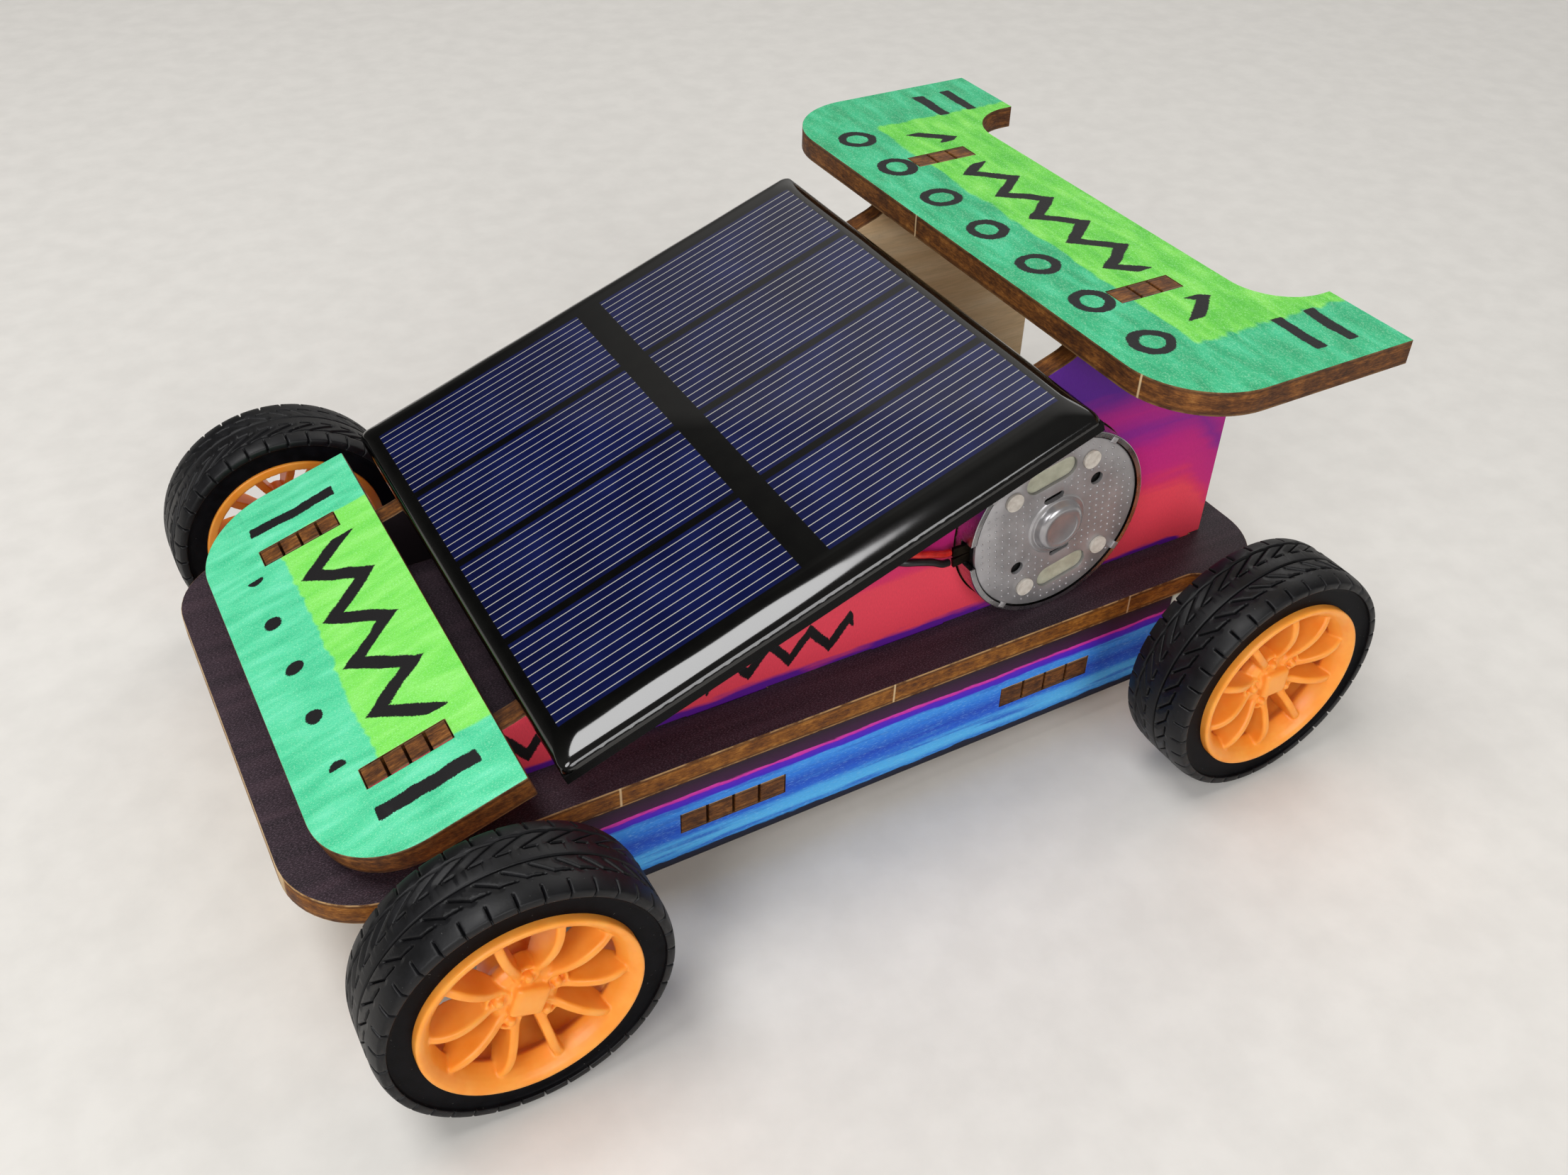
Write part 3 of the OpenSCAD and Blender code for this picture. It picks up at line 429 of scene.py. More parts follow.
def paint_side(g, place):
    """Red pen with a violet hem, magenta and violet higher up, and a generic zig-zag of black pen."""
    x, _, z = g.axes(g.wobbled(place, 6, 0.5))
    rise = g.minus(z, DECK_TOP)
    uneven = g.swing(streaks(g, place, 0, size=1.2, length=9), 3.0)
    rear = g.times(g.step(x, -50, -58), 7.0)
    share = g.math("DIVIDE", g.plus(rise, g.plus(uneven, rear)), 26.0)
    bands = [(0.02, "#5a1690"), (0.05, "#ea4458"), (0.34, "#ee485c"), (0.4, "#e03466"), (0.47, "#cc247c"),
             (0.64, "#c01c80"), (0.74, "#8c1a8e"), (0.84, "#b01c84"), (1.0, "#561a8e")]
    tone = over_grain(g, place, 2, g.ramp(share, bands), 0.8, 1.16)
    band = g.drop(g.apart(x, 22), 25, 25.4)
    art = g.times(zigzag(g, rise, x, 4.6, 3.4, 2.6, 1.2), band)
    return ink_over(g, place, art, tone)


def side_back(g, place):
    """Inner side of a side panel: bare veneer, darkened to plum-black towards the nose."""
    x = g.axes(g.wobbled(place, 4, 1.5))[0]
    dark = over_grain(g, place, 0, "#1d1418", 0.7, 1.5)
    return g.mix(g.step(x, 6, 14), bare_wood(g, place, 0), dark)


# Meshes and pieces

def shade_smooth(mesh, degrees):
    """Smooth shading, with edges sharp from an angle on."""
    mesh.shade_smooth()
    mesh.set_sharp_from_angle(angle=math.radians(degrees))


def added(name, data):
    """A new object in the scene."""
    obj = bpy.data.objects.new(name, data)
    bpy.context.collection.objects.link(obj)
    return obj


def settle(name, mesh, place, body, slot, *nodes):
    """Adds a visible piece at a place. It rides on a body and stands for CAD nodes."""
    obj = added(name, mesh)
    obj.matrix_world = place
    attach(obj, body)
    if nodes:
        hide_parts(*nodes)


def baked(obj):
    """The object's mesh with its modifiers applied, as a new mesh. The object is removed."""
    graph = bpy.context.evaluated_depsgraph_get()
    mesh = bpy.data.meshes.new_from_object(obj.evaluated_get(graph))
    bpy.data.objects.remove(obj)
    return mesh


def strip_faces(rings, size, closed_rings, first):
    """Quads between rings of points, each ring closed on itself."""
    faces = []
    count = rings if closed_rings else rings - 1
    for i in range(count):
        a = first + i * size
        b = first + (i + 1) % rings * size
        for k in range(size):
            n = (k + 1) % size
            faces.append((a + k, a + n, b + n, b + k))
    return faces


class Solid:
    """Points and faces of several closed shapes."""

    def __init__(self):
        self.points = []
        self.faces = []

    def loft(self, rings, capped=True):
        first = len(self.points)
        size = len(rings[0])
        for ring in rings:
            self.points.extend(ring)
        self.faces.extend(strip_faces(len(rings), size, not capped, first))
        if capped:
            last = first + (len(rings) - 1) * size
            self.faces.append(tuple(range(first + size - 1, first - 1, -1)))
            self.faces.append(tuple(range(last, last + size)))

    def lathe(self, profile, steps=96, capped=True):
        """Turns (radius, y) points about the Y axis."""
        self.loft([circle(r, y, steps) for r, y in profile], capped)

    def mesh(self, name, smooth_angle=None):
        mesh = bpy.data.meshes.new(name)
        mesh.from_pydata([tuple(Vector(p) * MM) for p in self.points], [], self.faces)
        mesh.validate()
        if smooth_angle:
            shade_smooth(mesh, smooth_angle)
        return mesh


def turn_angles(steps):
    return [2 * math.pi * k / steps for k in range(steps)]


def circle(r, y, steps):
    """A ring of points about the Y axis."""
    return [Vector((r * math.cos(a), y, r * math.sin(a))) for a in turn_angles(steps)]


def lerp(a, b, t):
    return a + (b - a) * t


def smooth(t):
    return t * t * (3 - 2 * t)


# Wheels. Each is drawn about the Y axis with its outer side towards +Y and the rim's lip at y = 0

TYRE_R = 15.25
TYRE_W = 9.7
LIP_PROUD = 0.4
RIM_R = 11.4
BEAD_R = 11.45
WALL_R = 13.92
TREAD_PITCHES = 36
PITCH_STEPS = 38
TREAD_COLUMNS = 126
CUT_EDGE = 0.2
FACET_REACH = 0.7
KEPT_SHARE = 0.35

# Cuts of the tread over one pitch: start and end as (pitches, millimetres across from the inner side and on
# round the shoulders), half width, depth, and the depth of the sloped facet on one side
TREAD_CUTS = [
    ((0.5, -0.9), (0.54, 1.35), 0.07, 0.4, 0.0),
    ((1.23, 2.0), (0.0, 3.5), 0.08, 0.4, 0.16),
    ((0.08, 3.72), (0.55, 3.7), 0.1, 0.36, 0.0),
    ((0.0, 5.75), (0.69, 7.1), 0.08, 0.42, 0.16),
    ((0.69, 7.1), (1.32, 7.25), 0.1, 0.45, 0.0),
    ((0.0, 8.4), (0.0, 10.7), 0.07, 0.5, 0.0),
]
GROOVES = [(1.9, 0.1, 0.4), (5.3, 0.09, 0.36)]


def clamp(value):
    return max(0.0, min(1.0, value))


def cut_depth(s, q, cut):
    """Depth of one cut at a place: s counts pitches round the tyre, q is the place across it."""
    start, end, half_width, depth, facet = cut
    pitch_mm = 2 * math.pi * TYRE_R / TREAD_PITCHES
    dx, dq = (end[0] - start[0]) * pitch_mm, end[1] - start[1]
    best = 0.0
    for shift in (-1, 0, 1, 2):
        px, pq = (s + shift - start[0]) * pitch_mm, q - start[1]
        t = (px * dx + pq * dq) / (dx * dx + dq * dq)
        near = clamp(t)
        distance = math.hypot(px - near * dx, pq - near * dq)
        best = max(best, depth * (1 - smooth(clamp((distance - half_width) / CUT_EDGE + 0.5))))
        if facet and dx * pq > dq * px:
            best = max(best, facet * clamp(1 - distance / FACET_REACH))
    return best


def tread_depth(s, q):
    depth = max(cut_depth(s, q, cut) for cut in TREAD_CUTS)
    for at, half_width, cut in GROOVES:
        depth = max(depth, cut * (1 - smooth(clamp((abs(q - at) - half_width) / CUT_EDGE + 0.5))))
    return depth


def tyre_profile():
    """(radius, distance from the inner side, place across the tread) round the tyre's section."""
    drop = 0.42
    first = 0.24
    shoulder = [(14.78, 0.13), (14.66, 0.05), (14.5, 0.01), (14.3, 0.0), (14.1, 0.0), (13.98, 0.02)]
    wall = [(13.93, 0.1), (13.9, 0.36), (13.8, 0.5), (13.3, 0.56), (12.4, 0.58), (BEAD_R, 0.6)]
    tread = []
    for i in range(TREAD_COLUMNS + 1):
        t = i / TREAD_COLUMNS
        w = lerp(first, TYRE_W - first, t)
        tread.append((TYRE_R - drop * abs(2 * t - 1) ** 5, w, w))
    side = []
    q = first
    before = (TYRE_R - drop, first)
    for r, w in shoulder:
        q -= math.hypot(r - before[0], w - before[1])
        before = (r, w)
        side.append((r, w, q))
    side.extend((r, w, None) for r, w in wall)
    outer = [(r, TYRE_W - w, None if q is None else TYRE_W - q) for r, w, q in side]
    bore = [(BEAD_R, TYRE_W - 0.9, None), (BEAD_R, TYRE_W / 2, None), (BEAD_R, 0.9, None)]
    return side[::-1] + tread + outer + bore


def tyre_mesh():
    """Treaded tyre: the cuts go in square to the section, so that they run on over the shoulders."""
    profile = tyre_profile()
    angles = turn_angles(TREAD_PITCHES * PITCH_STEPS)
    rings = []
    for i, (r, w, q) in enumerate(profile):
        after = profile[(i + 1) % len(profile)]
        before = profile[i - 1]
        inward = Vector((-(after[1] - before[1]), after[0] - before[0])).normalized()
        cuts = [tread_depth(k / PITCH_STEPS, q) if q is not None else 0.0 for k in range(PITCH_STEPS)]
        ring = []
        for k, a in enumerate(angles):
            cut = cuts[k % PITCH_STEPS]
            radius = r + inward.x * cut
            ring.append((radius * math.cos(a), w + inward.y * cut - TYRE_W - LIP_PROUD, radius * math.sin(a)))
        rings.append(ring)
    solid = Solid()
    solid.loft(rings, capped=False)
    mesh = thinned(added("tyre", solid.mesh("tyre")))
    shade_smooth(mesh, 65)
    for finish in (rubber_finish("tyre_tread", 0.3), rubber_finish("tyre_wall", 0.05)):
        mesh.materials.append(finish)
    for face in mesh.polygons:
        if math.hypot(face.center.x, face.center.z) < WALL_R * MM:
            face.material_index = 1
    return mesh


def thinned(obj):
    """The object's baked mesh with fewer faces where it is flat."""
    obj.modifiers.new("thinned", "DECIMATE").ratio = KEPT_SHARE
    return baked(obj)


SPOKE_PAIRS = 5
SPOKE_HALF = 0.5
NUT_AT = 3.05
BARREL_END = -9.8
RIM_VOXEL = 0.13

# A spoke: distance along its pair's axis, side step from it, and heights of its ridge and foot over the lip
SPOKE_RIDGE = [
    (2.6, 0.75, -1.85, -3.2), (3.5, 1.0, -1.6, -3.6), (4.5, 1.36, -1.1, -4.0), (5.8, 1.9, -0.62, -4.3),
    (7.0, 2.4, -0.42, -4.3), (8.2, 2.8, -0.5, -3.9), (9.1, 3.02, -0.78, -3.2), (9.8, 3.15, -1.2, -2.4),
]

# Profiles of the rim, a lug nut and the pocket about it, as radius and height over the lip
LIP = [(RIM_R, -0.3), (11.34, -0.1), (11.2, 0.0), (10.9, -0.06)]
DISH = [(10.5, -0.32), (10.1, -0.76), (9.75, -1.32), (9.5, -1.88), (9.32, -2.45)]
BARREL = [(9.45, -2.75), (10.3, -3.7), (10.3, BARREL_END)]
HUB = [(2.4, -14.55), (2.4, -7.4), (3.3, -6.8), (3.3, -4.6), (3.8, -3.8), (3.9, -3.0), (3.5, -2.4),
       (2.9, -2.05), (0.01, -1.9)]
NUT = [(0.5, -4.0), (0.52, -1.6), (0.42, -1.3), (0.22, -1.15)]
POCKET = [(1.3, -4.0), (1.32, -1.95), (1.15, -1.68), (0.95, -1.72), (0.86, -2.3), (0.01, -2.35)]

# Sections of the hub's square cap: half its side, corner radius and height over the lip
CAP = [(1.8, 0.45, -3.2), (1.78, 0.45, -1.25), (1.6, 0.4, -0.98), (1.25, 0.3, -0.9)]


def spoke_rings(turn, side):
    """Sections of one spoke from the hub to the dish: a blade with a rounded ridge."""
    along = Vector((math.cos(turn), 0, math.sin(turn)))
    across = Vector((-math.sin(turn), 0, math.cos(turn))) * side
    line = curve_points([(r, step, y) for r, step, y, _ in SPOKE_RIDGE], parts=4)
    feet = curve_points([(r, step, foot) for r, step, _, foot in SPOKE_RIDGE], parts=4)
    rings = []
    for i, (p, foot) in enumerate(zip(line, feet)):
        heading = line[min(i + 1, len(line) - 1)] - line[max(i - 1, 0)]
        square = Vector((-heading.y, heading.x)).normalized()
        brow = p.z - 0.02
        flank = p.z - 0.2
        section = [(-0.6, brow), (-0.95, flank), (-1.05, foot.z), (1.05, foot.z), (0.95, flank), (0.6, brow),
                   (0.0, p.z)]
        ring = []
        for share, y in section:
            r = p.x + square.x * share * SPOKE_HALF
            step = p.y + square.y * share * SPOKE_HALF
            ring.append(along * r + across * step + Vector((0, y, 0)))
        rings.append(ring if side > 0 else ring[::-1])
    return rings


def rim_mesh(degrees):
    """Moulded rim: dished barrel, five pairs of spokes, hub with lug nuts in pockets and a square cap."""
    solid = Solid()
    solid.lathe([(RIM_R, BARREL_END), *LIP, *DISH, *BARREL], capped=False)
    for pair in range(SPOKE_PAIRS):
        turn = math.radians(degrees) + 2 * math.pi * pair / SPOKE_PAIRS
        for side in (-1, 1):
            solid.loft(spoke_rings(turn, side))
        centre = Vector((math.cos(turn), 0, math.sin(turn))) * NUT_AT
        for profile in (NUT, POCKET):
            solid.loft([[centre + p for p in circle(r, y, 24)] for r, y in profile])
    solid.lathe(HUB)
    turned = Matrix.Rotation(math.radians(-degrees), 4, "Y")
    solid.loft([[turned @ p for p in cap_ring(*section)] for section in CAP])
    raw = added("rim_raw", solid.mesh("rim_raw"))
    remesh = raw.modifiers.new("moulded", "REMESH")
    remesh.mode = "VOXEL"
    remesh.voxel_size = RIM_VOXEL * MM
    soften = raw.modifiers.new("softened", "SMOOTH")
    soften.factor = 0.5
    soften.iterations = 5
    mesh = thinned(raw)
    mesh.name = "rim"
    shade_smooth(mesh, 60)
    return mesh


def cap_ring(half, corner, y):
    """A square with round corners, square to the Y axis."""
    return [Vector((p.x, y, -p.y)) for p in rounded_ring(half, half, corner, 0, segments=4)]


# Axles, and how far their rims are turned in the photograph, in degrees
WHEELS = [("front", 23), ("rear", 0)]


def build_wheels():
    plastic = rim_finish()
    tyre = tyre_mesh()
    for axle, degrees in WHEELS:
        rim = rim_mesh(degrees)
        rim.materials.append(plastic)
        for side, turn in (("left", 0), ("right", math.pi)):
            wheel = f"{axle}_{side}"
            low, high = box_mm(wheel + "_rim")
            face_y = high.y if side == "left" else low.y
            middle = (low + high) / 2
            at = Vector((middle.x, face_y, middle.z)) * MM
            place = Matrix.Translation(at) @ Matrix.Rotation(turn, 4, "Z")
            for kind, mesh, slot in (("tyre", tyre, "tyre_black"), ("rim", rim, "rim_orange")):
                node = f"{wheel}_{kind}"
                settle(node + "_moulded", mesh, place, axle + "_wheelset", slot, node)


def rubber_finish(name, specular):
    """Black rubber: satin, with a faint mottle and a little pale dust."""
    g = Finish(name, specular_ior_level=specular)
    place = g.place()
    mottle = g.noise(place, 1.4, detail=4)
    tone = g.tint(mottle, "#09090b", "#101013")
    dust = g.step(g.noise(place, 0.28, detail=2), 0.72, 0.78)
    colour = g.mix(g.times(dust, 0.3), tone, "#8b8a86")
    return g.finish(colour, g.grey(mottle, 0.36, 0.56), g.noise(place, 0.25, detail=3), 0.02, 0.4)


def rim_finish():
    """Orange moulded plastic, slightly translucent, with a soft gloss and a faint flow pattern."""
    g = Finish("rim_plastic", specular_ior_level=0.45)
    place = g.place()
    flow = g.noise(place, 3.5, detail=3)
    rough = g.grey(g.noise(place, 0.8, detail=3), 0.3, 0.44)
    g.set("Subsurface Weight", 0.3)
    g.set("Subsurface Radius", (1.0, 0.35, 0.1))
    g.set("Subsurface Scale", 1.2 * MM)
    return g.finish(g.tint(flow, "#f6962f", "#fba544"), rough, flow, 0.04, 0.3)


# Solar panel

TAPE_T = 0.8
BOARD_T = 1.2
PANEL_L = 65.0
PANEL_W = 66.0
PANEL_START = 1.5
CELL_L = 28.6
CELL_W = 13.5
ROW_GAP = 3.4
CELL_GAP = 1.1
CELL_COLUMNS = 4
CELL_PITCH = CELL_W + CELL_GAP
CONTACT_PITCH = CELL_W / 11
CONTACT_W = 0.1


def panel_frame():
    """Frame at the middle of the panel board's underside: +X down the slope, +Z square to it."""
    slope = Matrix.Translation(Vector(SHOULDER) * MM) @ Matrix.Rotation(math.radians(SOLAR_ANGLE), 4, "Y")
    return slope @ Matrix.Translation(Vector((-PANEL_START - PANEL_L / 2, 0, TAPE_T)) * MM)


def rounded_ring(half_l, half_w, r, z, segments=6):
    """A rectangle with round corners at height z."""
    ring = []
    for quarter, (sx, sy) in enumerate(((1, 1), (-1, 1), (-1, -1), (1, -1))):
        for k in range(segments + 1):
            a = math.radians(90 * quarter + 90 * k / segments)
            x = sx * (half_l - r) + r * math.cos(a)
            y = sy * (half_w - r) + r * math.sin(a)
            ring.append(Vector((x, y, z)))
    return ring


# Section of the resin's edge: distance in from the board's edge and height over the board
RESIN_SECTION = [(0.0, 0.0), (0.06, 0.28), (0.16, 0.53), (0.36, 0.8), (0.75, 1.07), (1.3, 1.31), (2.0, 1.53),
                 (2.8, 1.7), (3.8, 1.8)]
RESIN_CORNER = 0.9
END_SHARE = 0.55
FOOT_H = 0.6
LUMP = 0.08
RIPPLE = 0.012
LONG_SIDE = 8
SIDE_STEPS = 220


def resin_mesh():
    """Cast resin with a lumpy foot, a broad rounded edge that is narrower at the ends, and a flat top."""
    rings = []
    for p in curve_points([(inset, height, 0) for inset, height in RESIN_SECTION], parts=4):
        corner = RESIN_CORNER + 0.4 * p.x
        ring = long_sides(PANEL_L / 2 - END_SHARE * p.x, PANEL_W / 2 - p.x, corner, BOARD_T + p.y)
        lump = LUMP * clamp(1 - p.y / FOOT_H) * clamp(p.y / 0.1)
        ripple = RIPPLE * clamp(p.y / 0.4) * clamp((1.79 - p.y) / 0.2)
        for q in ring:
            slow = math.sin(q.x * 0.47 + 1.3) + math.sin(q.y * 0.39 + 0.4)
            quick = math.sin(q.x * 7.3 + 2 * math.sin(q.x * 1.7))
            quick += math.sin(q.y * 6.9 + 2 * math.sin(q.y * 1.9))
            q.z += ripple * slow + lump * quick
        rings.append(ring)
    solid = Solid()
    solid.loft(rings)
    return solid.mesh("panel_cast", 60)


def long_sides(half_l, half_w, r, z):
    """A rounded rectangle with its long sides divided into short steps."""
    corners = rounded_ring(half_l, half_w, r, z)
    ring = []
    for p, following in zip(corners, corners[1:] + corners[:1]):
        ring.append(p)
        if (following - p).length > LONG_SIDE:
            ring.extend(p.lerp(following, k / SIDE_STEPS) for k in range(1, SIDE_STEPS))
    return ring


def panel_finish():
    """Glossy black resin with two rows of four blue cells, crossed by fine pale contact lines."""
    g = Finish("panel_glass", specular_ior_level=0.7)
    place = g.place()
    u, v, _ = g.axes(place)
    row = g.minus(g.math("ABSOLUTE", u), (ROW_GAP + CELL_L) / 2)
    column = g.minus(g.math("PINGPONG", v, CELL_PITCH), CELL_PITCH / 2)
    in_row = g.stroke(g.math("ABSOLUTE", row), CELL_L, soft=0.06)
    in_column = g.stroke(g.math("ABSOLUTE", column), CELL_W, soft=0.06)
    in_field = g.stroke(g.math("ABSOLUTE", v), CELL_COLUMNS * CELL_PITCH, soft=0.06)
    top = g.step(g.facing((0, 0, 1)), 0.8, 0.92)
    cell = g.times(g.times(in_row, in_column), g.times(in_field, top))
    wave = g.math("PINGPONG", g.plus(column, CELL_W / 2), CONTACT_PITCH / 2)
    contact = g.times(g.stroke(g.apart(wave, CONTACT_PITCH / 2), CONTACT_W, soft=0.035), cell)
    wafer = g.noise(place, 7, detail=3)
    blue = g.ramp(wafer, zip(TONE_STOPS, ("#060b32", "#09103c", "#101848")))
    base = g.tint(g.noise(place, 3, detail=3), "#020202", "#060605")
    colour = g.mix(g.times(contact, 0.9), g.mix(cell, base, blue), "#c2c0b4")
    return g.finish(colour, 0.09, g.noise(place, 6, detail=2), 0.03, 0.25)


def build_panel():
    mesh = resin_mesh()
    mesh.materials.append(panel_finish())
    settle("panel_cast", mesh, panel_frame(), "chassis", "panel_resin", "panel_resin", "solar_cells")


# Leads

RED_ROUTE = [
    (-14.6, 22.6, 31.5), (-13.6, 22.8, 31.75), (-12, 23, 32.45), (-10, 23.1, 33.2), (-8.2, 22.8, 33.8),
    (-7, 21.8, 34.1), (-6.2, 20, 34.4), (-5.4, 18, 34.7), (-4.2, 16.2, 35.4), (-2.8, 14.9, 36.6),
    (-1.8, 14.2, 38), (-1, 14, 39.6), (-0.3, 14, 41.5),
]
BLACK_ROUTE = [
    (-14.6, 22.6, 30.05), (-13.6, 22.8, 30.35), (-12, 23, 31.3), (-10, 23.1, 32.1), (-8.2, 22.8, 32.5),
    (-7, 21.8, 32.7), (-6.2, 20, 32.9), (-5.6, 18, 33.2), (-4.8, 15.6, 33.8), (-3.8, 12.8, 34.8),
    (-2.6, 10.2, 36.4), (-1.6, 8.6, 38.2), (-1, 8, 39.6), (-0.3, 8, 41.5),
]
LEAD_R = 0.45
LEADS = [("red_lead", "wire_red", RED_ROUTE, "#b3120d", "#d8261b"),
         ("black_lead", "wire_black", BLACK_ROUTE, "#0d0d0e", "#1c1c1e")]


def curve_points(route, parts=8):
    """Points of a smooth curve through a route."""
    line = [Vector(p) for p in route]
    ends = [2 * line[0] - line[1], *line, 2 * line[-1] - line[-2]]
    points = []
    for i in range(1, len(ends) - 2):
        before, start, end, after = ends[i - 1:i + 3]
        bend = 2 * before - 5 * start + 4 * end - after
        twist = 3 * start - before - 3 * end + after
        for k in range(parts):
            t = k / parts
            points.append(0.5 * (2 * start + (end - before) * t + bend * t ** 2 + twist * t ** 3))
    points.append(line[-1])
    return points


def tube_mesh(name, points, radius, sides=14):
    """A round tube along points, with its frame carried along so that it doesn't twist."""
    rings = []
    across = None
    for i, p in enumerate(points):
        ahead = (points[min(i + 1, len(points) - 1)] - points[max(i - 1, 0)]).normalized()
        if across is None:
            across = ahead.orthogonal()
        across = (across - ahead * across.dot(ahead)).normalized()
        other = ahead.cross(across)
        rings.append([p + radius * (across * math.cos(a) + other * math.sin(a)) for a in turn_angles(sides)])
    solid = Solid()
    solid.loft(rings)
    return solid.mesh(name, 50)


def wire_finish(name, low, high):
    g = Finish(name, specular_ior_level=0.5)
    scuff = g.noise(g.place(), 0.9, detail=3)
    return g.finish(g.tint(scuff, low, high), g.grey(scuff, 0.26, 0.42), scuff, 0.02, 0.4)


def build_leads():
    for name, slot, route, low, high in LEADS:
        mesh = tube_mesh(name + "_wire", curve_points(route), LEAD_R)
        mesh.materials.append(wire_finish(slot, low, high))
        settle(name + "_wire", mesh, Matrix.Identity(4), "chassis", slot, name)


# Finishes of the nodes that keep their solids

def mottled(g, low, high, rough, size, grain, depth, strength):
    """Gives a finish a mottled tone and roughness, and a fine grain."""
    place = g.place()
    mottle = g.noise(place, size, detail=4)
    relief = g.noise(place, grain, detail=3)
    return g.finish(g.tint(mottle, low, high), g.grey(mottle, *rough), relief, depth, strength)


def metal_finish(name, low, high, rough, size=1.2):
    return mottled(Finish(name, metallic=1.0), low, high, rough, size, size / 4, 0.01, 0.4)


def plastic_finish(name, low, high, rough=(0.4, 0.6), size=2.0, depth=0.03, specular=0.4):
    """Matt plastic, foam or board."""
    return mottled(Finish(name, specular_ior_level=specular), low, high, rough, size, size / 5, depth, 0.6)


def plate_finish():
    """Satin zinc sheet with soft smudges, polished on the boss."""
    g = Finish("motor_plate", metallic=0.6)
    place = g.place()
    x, _, z = g.axes(place)
    boss = g.drop(g.length(x, z), 3.7, 4.1)
    smudge = g.noise(place, 3, detail=4)
    spots = g.step(g.noise(place, 0.4, detail=3), 0.66, 0.74)
    tone = g.ramp(smudge, [(0.3, "#9f9d9f"), (0.7, "#b8b6b8")])
    colour = g.mix(g.times(spots, 0.25), tone, "#77716f")
    rough = g.minus(g.grey(smudge, 0.4, 0.5), g.times(boss, 0.2))
    return g.finish(colour, rough, g.noise(place, 0.35, detail=3), 0.012, 0.4)


# End plate of the motor, drawn about the Y axis with the can's rim at y = 0. Angles count from +X to +Z
PLATE_TOP = -0.15
PLATE_SHEET = 0.45
PLATE_R = 11.38
WINDOW_TURN = 76
WINDOW_AT = 7.5
WINDOW_SIZE = (7.0, 2.9)
SLIT_AT = 4.15
SLIT_SIZE = (2.8, 0.85)
VENT_TURN = 136
VENT_AT = 6.9
VENT_R = 0.85
RIVET_TURNS = (38, 114, 218, 294)
RIVET_AT = 8.7
CRIMP_TURNS = (34, 124, 214, 304)
CRIMP_AT = 11.5
CRIMP_PLAN = [(-0.3, 0.5), (0.5, 0.5), (0.5, -0.5), (-0.3, -0.5)]
CRIMP_LEVELS = [(1.0, -0.3), (1.0, -0.02), (0.8, 0.06)]
DIMPLE_PITCH = 0.95
DIMPLE_TURN = 83
DIMPLE = [(0.17, -0.05), (0.17, 0.0), (0.12, 0.06), (0.05, 0.085)]
DIMPLE_ROWS = range(-12, 13)
BOSS_ROOM = 4.5
EDGE_ROOM = 0.55
CUTTER_Y = (-2, 2)
HOLE_BEVEL = 0.13
BOSS = [(4.0, 0.0), (3.9, 0.1), (3.75, 0.17), (3.5, 0.16), (3.32, 0.22), (3.18, 0.45), (3.08, 0.75),
        (2.85, 1.02), (2.45, 1.17), (2.12, 1.2), (2.0, 1.15), (1.9, 1.12), (0.01, 1.12)]

# Plugs behind the windows: how much larger than the window, and height
PLUG = [(0.2, -0.95), (0.1, -0.62), (-0.35, -0.46), (-1.0, -0.42), (-1.6, -0.44)]

# Slots and round spots of the plate, each with the room it keeps free of dimples
SLOTS = [(WINDOW_AT, WINDOW_SIZE, 0.45), (SLIT_AT, SLIT_SIZE, 0.4)]
SPOTS = [(VENT_TURN, VENT_AT, VENT_R + 0.4), (VENT_TURN + 180, VENT_AT, VENT_R + 0.4),
         *((turn, RIVET_AT, 1.55) for turn in RIVET_TURNS)]


def stadium_ring(length, width, y, segments=10):
    """A slot outline about the origin, long along X, in the plane square to Y."""
    ring = []
    for end in (1, -1):
        for k in range(segments + 1):
            a = math.radians(-90 + 180 * k / segments) + (0 if end > 0 else math.pi)
            x = end * (length - width) / 2 + width / 2 * math.cos(a)
            ring.append(Vector((x, y, width / 2 * math.sin(a))))
    return ring[::-1]


def loft_in_plate(solid, rings, degrees, away, spin=0):
    """Adds rings drawn about the origin at a place in the plate, turned to face its centre."""
    turn = Matrix.Rotation(math.radians(-degrees), 4, "Y")
    spun = Matrix.Rotation(math.radians(-spin), 4, "Y")
    solid.loft([[turn @ (Vector((away, 0, 0)) + spun @ Vector(p)) for p in ring] for ring in rings])


def plate_holes():
    """The cutters of the windows, slits and vents."""
    solid = Solid()
    vent = [[(VENT_R * math.cos(a), y, -VENT_R * math.sin(a)) for a in turn_angles(28)] for y in CUTTER_Y]
    for half in (0, 180):
        for away, size, _ in SLOTS:
            loft_in_plate(solid, [stadium_ring(*size, y) for y in CUTTER_Y], WINDOW_TURN + half, away, 90)
        loft_in_plate(solid, vent, VENT_TURN + half, VENT_AT)
    return solid


def slot_distance(x, z, size):
    """Distance from a slot outline about the origin, long along X."""
    length, width = size
    return math.hypot(max(0.0, abs(x) - (length - width) / 2), z) - width / 2


def plain_plate(x, z):
    """Whether a dimple has room at a place in the plate."""
    if not BOSS_ROOM < math.hypot(x, z) < PLATE_R - EDGE_ROOM:
        return False
    for half in (0, 180):
        a = math.radians(WINDOW_TURN + half)
        out = x * math.cos(a) + z * math.sin(a)
        aside = -x * math.sin(a) + z * math.cos(a)
        if any(slot_distance(aside, out - away, size) < room for away, size, room in SLOTS):
            return False
    for degrees, away, room in SPOTS:
        a = math.radians(degrees)
        if math.hypot(x - away * math.cos(a), z - away * math.sin(a)) < room:
            return False
    return True


